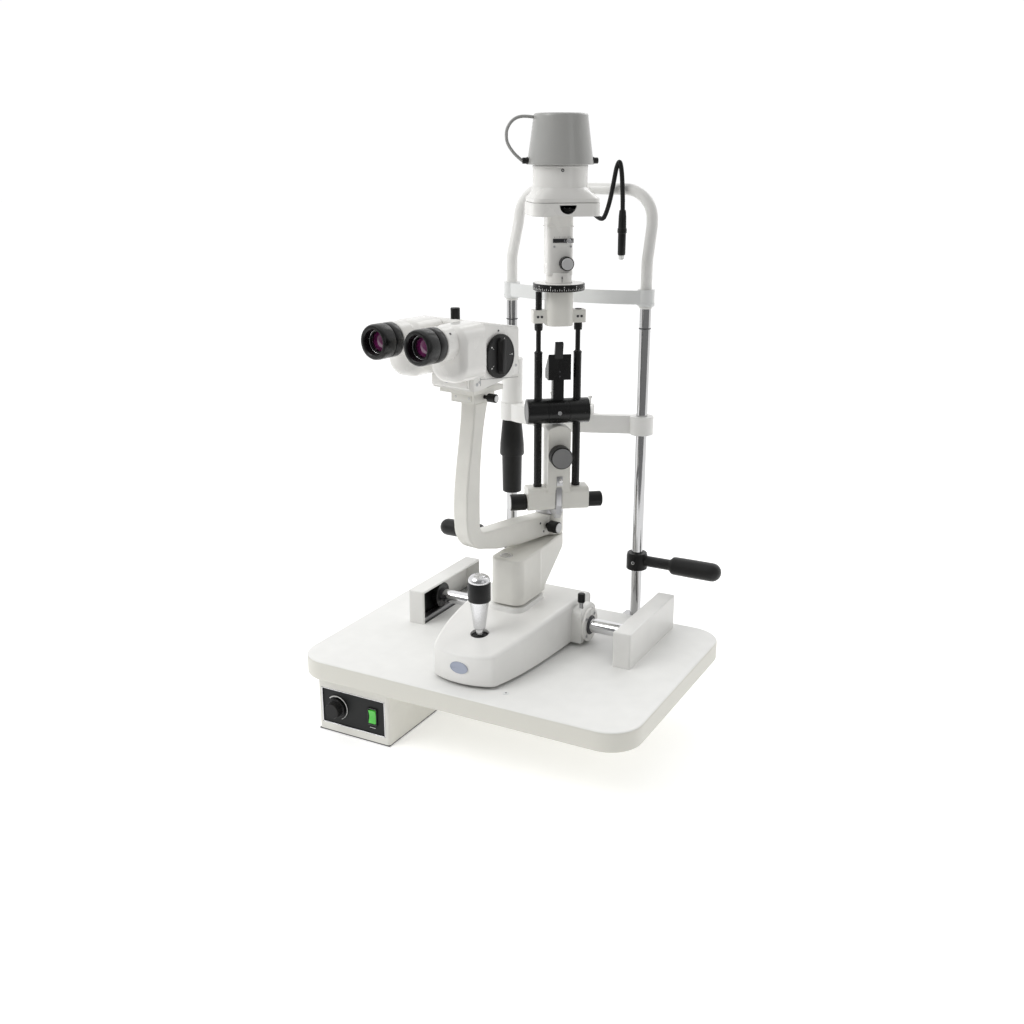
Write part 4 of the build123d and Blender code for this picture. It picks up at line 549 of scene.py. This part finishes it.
for side, sign in (("left", -1), ("right", 1)):
    axis = SCOPE @ shift(sign * OCULAR_X, 0, OCULAR_Z) @ TO_FRONT
    body = f"{side}_eyepiece"
    collar = [(20.9, 281.6), (21.3, 282.2), (21.3, 292.6), (20.9, 293.4), (20.3, 293.6), (20.3, 294.8),
              (21.4, 295.4)]
    cup = [(21.6, 296.2), (21.6, 308.6), (21.2, 311.6), (20.2, 313.4), (18.8, 314), (16.6, 313.8),
           (15.4, 312.6), (14.9, 306.6), (14.6, 305.2), (12.4, 304.6), (12.2, 303.4), (12.2, 299.8),
           (18, 299), (20.2, 290), (20.2, 281.6), (20.9, 281.6)]
    eyepiece = lathe(f"{side}_eyepiece_skin", collar + cup, axis, black_metal, body, "black_metal", steps=192,
                     ribs=64, rib_depth=0.55, rib_span=(297.5, 307.6))
    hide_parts(f"{side}_eyepiece")
    lathe(f"{side}_eyepiece_stem", [(17.9, 265), (17.9, 283), (12.4, 299.5), (12.4, 265), (17.9, 265)], axis,
          black_metal, body, "black_metal", steps=64)
    lathe(f"{side}_eye_lens", [(0, 303.6), (5, 303.3), (9, 302.3), (12.1, 300.8), (12.1, 298), (0, 298)],
          axis, lens_purple, body, "glass", steps=64)
    lathe(f"{side}_lens_ring", [(12.2, 301.5), (14.3, 304.9), (14.0, 305.3), (12.0, 302.1), (12.2, 301.5)],
          axis, satin_alu, body, "aluminium", steps=96)
    dioptre = []
    for step in range(-9, 10):
        tall = 4.2 if step % 3 == 0 else 2.2
        spot = axis @ turn(8 * step - 90, "Z") @ shift(0, -21.3, 289.6 - tall / 2)
        dioptre.append(((0.45, 0.3, tall), spot))
    marks(f"{side}_dioptre_ticks", dioptre, mark_white, body)
    lathe(f"{side}_dioptre_index", [(0, 0), (1.5, 0), (1.5, 0.4), (0, 0.6)],
          SCOPE @ shift(sign * OCULAR_X, -272, OCULAR_Z) @ turn(sign * 50, "Y") @ shift(0, 0, 20.9),
          mark_dark, f"{side}_ocular", "black_metal", steps=20)
    lathe(f"{side}_tube_lip", [(21, 0), (21.5, 0.4), (21.5, 1.6), (21, 2)], axis @ shift(0, 0, 278.4),
          gloss_white, f"{side}_ocular", "white_paint", steps=96)

LOCK_KNOBS = (("carriage_screw", "carriage_knob", "carriage_knob", (19.6, -170, 396), 5.6, 19, 5),
              ("swing_lock", "swing_lock_knob", "swing_lock", (15.8, -22, 183), 8.5, 17, 0.6))
for name, node, body, at, radius, length, waist in LOCK_KNOBS:
    matrix = SCOPE @ shift(*at) @ ALONG_X
    stem = lathe(f"{name}_stem", [(0, -12), (radius * 0.45, -12), (radius * 0.45, waist),
                                  (radius * 0.62, waist + 0.4), (radius * 0.62, waist + 1.4),
                                  (0, waist + 1.4)], matrix, black_plastic, body, "black_plastic", steps=48)
    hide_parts(node)
    knurled(f"{name}_grip", radius, length - waist - 1, matrix @ shift(0, 0, waist + 1), black_plastic, body,
            "black_plastic", disc_alu, ribs=30, depth=0.4)
lathe("arm_spindle_cover", [(0, 0), (8.6, 0), (8.6, 0.7), (8, 1.1), (0, 1.1)], shift(0, PIVOT_Y, 213),
      steel, "column", "steel", steps=48)
screws("arm_side_screw", [SCOPE @ shift(12, -38, 190) @ ALONG_X, SCOPE @ shift(12, -30, 176) @ ALONG_X],
       1.6, mark_dark, "microscope", depth=0.3)
lathe("column_top_plug", [(8.7, -0.8), (8.7, 0.3), (8.2, 0.7), (6.6, 0.7), (6.2, 0.1), (0, 0.1)],
      shift(-6, -13, 165), satin_alu, "column", "aluminium", steps=64)

# ---------------------------------------------------------------- base and joystick
JOY = shift(0, -99, 0)
grip = [(0, 90.2), (7.2, 90.2), (8, 91), (8.5, 95), (9.6, 104), (11.2, 116), (12.6, 127.5), (12.8, 129.8),
        (12.8, 155.9), (14.3, 156.1), (14.6, 156.7), (14.6, 158.9), (13.9, 161), (12.4, 163.2), (10.4, 164.8),
        (8, 165.7), (6.2, 166), (5.6, 166.5), (3.2, 166.5), (2.8, 166.1), (0, 166.1)]
joy = lathe("joystick_grip_skin", grip, JOY, satin_alu, "joystick_grip", "aluminium", steps=96)
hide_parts("joystick_grip")
band = [(12.9, 129.9), (14.6, 130), (15.2, 130.8), (15.2, 154.7), (14.6, 155.7), (12.9, 155.8)]
lathe("joystick_band", band, JOY, rubber, "joystick_grip", "black_plastic", steps=240, ribs=60, rib_depth=0.5,
      rib_span=(131.2, 154.3))
lathe("joystick_boot", [(12.3, 0), (10.6, 1.4), (9, 0.2), (7.6, 1.8), (6.4, 0.8), (5.3, 3), (5.2, 0),
                        (12.3, -1)], JOY @ shift(0, 0, 78.4), rubber, "base", "black_metal", steps=64)
for side, sign, aim in SIDES:
    at = shift(sign * 91.1, 58, 54.5) @ aim
    screws(f"bush_screws_{side}", [at @ turn(45 + 90 * k, "Z") @ shift(18.5, 0, 0) for k in range(4)], 2.5,
           steel, "base", depth=0.8)
    lathe(f"bush_wiper_{side}", [(10.2, 0), (13.4, 0), (13.8, 0.5), (13.4, 1.6), (10.6, 1.9), (10.2, 1.2)],
          at, mark_dark, "base", "black_metal", steps=64)
    shoe = shift(sign * 166.9, 40, 51) @ turn(-90 * sign, "Y")
    screws(f"bearing_screws_{side}", [shoe @ shift(x, -24, 0) for x in (14, -14)],
           2.2, steel, "carriage", depth=0.6)
lock = lathe("base_lock_stem", [(0, 74), (2.8, 74), (2.8, 88.6), (4.4, 89), (4.4, 89.8), (0, 89.8)],
             shift(80, 50, 0), steel, "base_lock", "steel", steps=40)
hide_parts("base_lock_knob")
knurled("base_lock_grip", 5.3, 13, shift(80, 50, 90), black_plastic, "base_lock", "black_plastic", ribs=28,
        depth=0.4)
screws("wing_screw", [shift(87, 72, 74) @ ALONG_X, shift(87, 41, 40) @ ALONG_X], 1.9, steel, "base",
       depth=0.5)
lathe("front_badge", [(0, 0), (13, 0), (13.4, 0.3), (13.2, 0.7), (12.6, 0.8), (12.2, 0.55), (0, 0.55)],
      shift(0, -153.7, 55) @ Matrix.Diagonal((1, 1, 0.62, 1)) @ TO_FRONT, badge_blue, "base", "aluminium",
      steps=96)

# ---------------------------------------------------------------- table top, rails and power unit
PANEL = shift(-165, -165, -44)
panel_frame = []
for sign in (1, -1):
    panel_frame.append(((106, 1.1, 1.5), PANEL @ shift(0, 0, sign * 26.2)))
    panel_frame.append(((1.5, 1.1, 53.9), PANEL @ shift(sign * 52.2, 0, 0)))
marks("panel_trim", panel_frame, satin_alu, "table", bevel=0.3)
KNOB = PANEL @ shift(-27, -0.2, 0) @ TO_FRONT
knob_profile = [(0, 0), (13.2, 0), (13.5, 0.5), (13.4, 3), (11.9, 4), (11, 12.6), (10.4, 13.6), (0, 13.8)]
knob = lathe("dimmer_skin", knob_profile, KNOB, black_plastic, "dimmer", "aluminium", steps=192, ribs=24,
             rib_depth=0.7, rib_span=(4.4, 12.8))
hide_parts("dimmer_knob")
lathe("dimmer_shaft", [(0, -14), (3, -14), (3, 0), (0, 0)], KNOB, steel, "dimmer", "steel", steps=24)
arc = []
for step in range(28):
    wide = 0.6 + 1.1 * step / 27
    at = KNOB @ turn(-60 + 190 * step / 27, "Z") @ shift(17.2, 0, 0.6) @ turn(90, "Z")
    arc.append(((2.7, wide, 0.3), at))
marks("dimmer_scale", arc, mark_white, "table")
ROCKER = PANEL @ shift(32, 0, 0)
rocker_bezel = []
for sign in (1, -1):
    rocker_bezel.append(((1.4, 1.4, 25.6), ROCKER @ shift(sign * 6.9, -0.3, 0)))
    rocker_bezel.append(((15.2, 1.4, 1.6), ROCKER @ shift(0, -0.3, sign * 12)))
marks("rocker_bezel", rocker_bezel, black_gloss, "table", bevel=0.3)
marks("panel_caption_line", [((9, 0.3, 0.6), ROCKER @ shift(0, -0.2, -16.5))], mark_white, "table")
feet = [shift(x, y, -81.7) @ turn(180, "X") for x in (-212, -118) for y in (-153, 23)]
screws("power_box_screws", feet, 3.2, steel, "table", depth=1.2)
vents = [((54, 1.6, 0.6), shift(-165, y, -82.7)) for y in range(-110, -40, 7)]
# A dark band along the bottom of the power box: painted shade where the box meets the floor.
marks("power_box_bottom_shade", [((118.8, 200.8, 1.3), shift(-165, -65, -82.3))], mark_dark, "table",
      bevel=0.3)
marks("power_box_vents", vents, mark_dark, "table")
lathe("board_cap", [(0, 0), (4.1, 0), (4, 0.5), (2.6, 0.9), (0, 1)], shift(63.6, -142.5, 28), band_white,
      "table", "white_laminate", steps=40)
lathe("board_cap_hole", [(0, 0.9), (1.1, 0.95), (1.1, 1.15), (0, 1.15)], shift(63.6, -142.5, 28), mark_dark,
      "table", "black_metal", steps=24)
underside = [shift(sx * 80, sy * 80, 0) @ turn(180, "X") for sx in (1, -1) for sy in (1, -1)]
bm = bmesh.new()
for matrix in underside:
    add_lathe(bm, [(3.5, -0.2), (6.5, -0.2), (6.5, 0.4), (5.9, 0.7), (3.5, 0.7)], matrix, steps=40)
finish_mesh("mount_inserts", bm, steel, WORLD, "table")
marks("rail_beds", [((22.6, 160, 0.8), shift(sign * 162.6, 81.5, 28.3)) for sign in (1, -1)], black_plastic,
      "table", bevel=0.3)
marks("rail_liners", [((0.7, 78, 43), shift(sign * 173.4, 40, 53)) for sign in (1, -1)], black_plastic,
      "table", bevel=0.2)

# ---------------------------------------------------------------- headrest
for side, sign, aim in SIDES:
    post = shift(sign * POST_X, POST_Y, 0)
    lathe(f"post_joint_{side}", [(8.05, 0), (8.5, 0.3), (8.5, 1.5), (8.05, 1.8)], post @ shift(0, 0, 458),
          mark_dark, "table", "chrome", steps=48)
    lathe(f"band_collar_{side}", [(12.1, 0.4), (12.6, 1), (12.6, 4), (12.1, 4.6)],
          post @ shift(0, 0, 490.5), band_white, "table", "white_plastic", steps=64)
    lathe(f"arch_ferrule_{side}", [(8.2, 0), (9, 0.5), (9, 2.6), (8.2, 3.2)], post @ shift(0, 0, 486.4),
          moulded_white, "table", "white_paint", steps=48)
    bracket = [shift(sign * POST_X + x, 199.9, z) @ TO_REAR for x in (-13, 13) for z in (7, 21)]
    screws(f"post_bracket_screws_{side}", bracket, 2.6, steel, "table", depth=1.6)
    clamp = [(8.2, 100.6), (14.9, 100.6), (15.5, 101.2), (15.5, 121.6), (14.6, 123.4), (14.6, 125),
             (14, 125.6), (8.2, 125.6)]
    ring = lathe(f"grip_clamp_{side}", clamp, post, black_plastic, f"{side}_grip", "rubber", steps=72)
    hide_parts(f"{side}_hand_grip")
    handle = [(0, 13), (7.4, 13), (8, 14), (8, 51), (8.6, 53), (12.6, 57), (13.2, 60), (13.5, 88),
              (13.5, 116)]
    for step in range(1, 9):
        angle = math.pi / 2 * step / 8
        handle.append((13.5 * math.cos(angle), 117 + 13.4 * math.sin(angle)))
    handle[-1] = (0, 130.4)
    lathe(f"grip_handle_{side}", handle, shift(sign * POST_X, POST_Y, 114) @ aim, rubber,
          f"{side}_grip", "rubber", steps=72)
    screws(f"grip_clamp_screw_{side}", [post @ shift(0, -15.3, 113) @ TO_FRONT], 2.6, steel, f"{side}_grip",
           depth=0.8)

sleeve = [(8.1, 192), (13.8, 192), (14.5, 192.8), (15.4, 247), (15.6, 250.2), (18, 250.8), (18.8, 252.5),
          (18.2, 268), (14.6, 305.4), (14.1, 306.3), (8.1, 306.3)]
sleeve_skin = lathe("height_sleeve_skin", sleeve, shift(-POST_X, POST_Y, 0), black_plastic, "height_sleeve",
                    "black_plastic", steps=96, ribs=12, rib_depth=0.35, rib_span=(195, 246))
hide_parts("height_sleeve")
marks("chin_paper", [((52, 26, 0.3), shift(0, 170, 337.5 + 0.4 * leaf)) for leaf in range(3)], mark_white,
      "chin_rest", bevel=0.1)
lathe("sleeve_rim", [(16, 0), (16.4, 0.5), (16.4, 2.6), (16, 3)], shift(-POST_X, POST_Y, 396),
      moulded_white, "chin_rest", "white_plastic", steps=72)

# ---------------------------------------------------------------- fixation lamp
stalk_line = ((-10, 631), (18, 613.7), (33, 603.5), (39, 614), (45, 634), (50.5, 664), (53, 677),
              (57.5, 685), (61, 668), (62.5, 645), (63.5, 628), (63.5, 611))
stalk_route = [(x, STALK_Y, z) for x, z in stalk_line]
stalk = tube("fixation_stalk", stalk_route, 3.2, WORLD, black_plastic, "fixation")
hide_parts("fixation_arm")
LAMP_HANDLE = shift(STALK_X, STALK_Y, 0)
handle = [(0, 557), (3.9, 557), (5, 557.4), (5.5, 558.4), (5.6, 587), (6.5, 588), (6.6, 590), (6.5, 593.6),
          (5.7, 594.6), (5.4, 610), (4.6, 618), (3.6, 619), (0, 619)]
lathe("fixation_handle", handle, LAMP_HANDLE, black_plastic, "fixation", "black_plastic", steps=64)
lathe("fixation_tip", [(0, 550.4), (2.4, 550.8), (3.7, 552.4), (4, 554), (4, 557.2), (0, 557.2)], LAMP_HANDLE,
      band_white, "fixation", "white_plastic", steps=48)
clamp = [(8.15, -7), (11.4, -7), (12, -6.4), (12, 6.4), (11.4, 7), (8.15, 7), (8.15, -7)]
lathe("fixation_clamp", clamp, shift(-10, 212, 646) @ ALONG_X, black_plastic, "fixation", "black_plastic",
      steps=72)
block("fixation_clamp_lug", (11.4, 12.6, 17), shift(-10, 200, 634.4), black_plastic, "fixation",
      bevel=2.4, segments=4)
screws("fixation_clamp_screw", [shift(-10, 193.6, 637) @ TO_FRONT], 2.4, steel, "fixation",
       depth=0.9)

# ---------------------------------------------------------------- floor, light, camera
FLOOR_Z = -0.0836
CAMERA_HEADING = 28.29
CAMERA_DIP = 17.48
bm = bmesh.new()
bmesh.ops.create_grid(bm, x_segments=1, y_segments=1, size=9)
floor_mesh = bpy.data.meshes.new("floor")
bm.to_mesh(floor_mesh)
bm.free()
floor_mesh.transform(Matrix.Rotation(math.radians(CAMERA_HEADING), 4,
                                     "Z") @ Matrix.Translation((0, 8.2, FLOOR_Z)))
floor = bpy.data.objects.new("floor", floor_mesh)
bpy.context.scene.collection.objects.link(floor)
floor_look = material("floor_look", (0.93, 0.93, 0.925), 0.8, mottle=0.01, mottle_scale=1.5, soft_edge=0)
glow(floor_look, (1, 1, 1), 0.34)
floor_mesh.materials.append(floor_look)

world = bpy.data.worlds.new("studio")
world.use_nodes = True
sky = world.node_tree.nodes
direction = sky.new("ShaderNodeTexCoord")
toward = sky.new("ShaderNodeVectorMath")
toward.operation = "DOT_PRODUCT"
toward.inputs[1].default_value = (-0.47, 0.88, 0.25)
fade = sky.new("ShaderNodeMapRange")
fade.interpolation_type = "SMOOTHSTEP"
fade.inputs["From Min"].default_value = -0.45
fade.inputs["From Max"].default_value = 0.35
fade.inputs["To Min"].default_value = 0.26
fade.inputs["To Max"].default_value = 1.02
world.node_tree.links.new(direction.outputs["Generated"], toward.inputs[0])
world.node_tree.links.new(toward.outputs["Value"], fade.inputs["Value"])
world.node_tree.links.new(fade.outputs["Result"], sky["Background"].inputs["Strength"])
sky["Background"].inputs["Color"].default_value = (1, 1, 1, 1)
bpy.context.scene.world = world


def softbox(name, place, aim, size, power):
    lamp = bpy.data.lights.new(name, "AREA")
    lamp.shape = "RECTANGLE"
    lamp.size, lamp.size_y = size
    lamp.energy = power
    holder = bpy.data.objects.new(name, lamp)
    holder.location = place
    holder.rotation_euler = (Vector(aim) - Vector(place)).to_track_quat("-Z", "Y").to_euler()
    bpy.context.scene.collection.objects.link(holder)


softbox("key", (-1.3, -1.7, 2.4), (0, 0, 0.3), (1.5, 1.5), 33)
softbox("fill", (2.4, -0.9, 1.3), (0, 0, 0.35), (0.8, 1.8), 4)
softbox("back", (0.3, 2.2, 2.0), (0, 0, 0.4), (1.8, 1.2), 9)

camera_data = bpy.data.cameras.new("camera")
camera_data.lens = 40.43
camera_data.sensor_width = 36
camera_data.clip_start = 0.01
camera = bpy.data.objects.new("camera", camera_data)
camera.location = (0.7090, -1.3252, 0.6982)
camera.rotation_euler = (math.radians(90 - CAMERA_DIP), 0, math.radians(CAMERA_HEADING))
bpy.context.scene.collection.objects.link(camera)
bpy.context.scene.camera = camera
bpy.context.scene.view_settings.view_transform = "Standard"
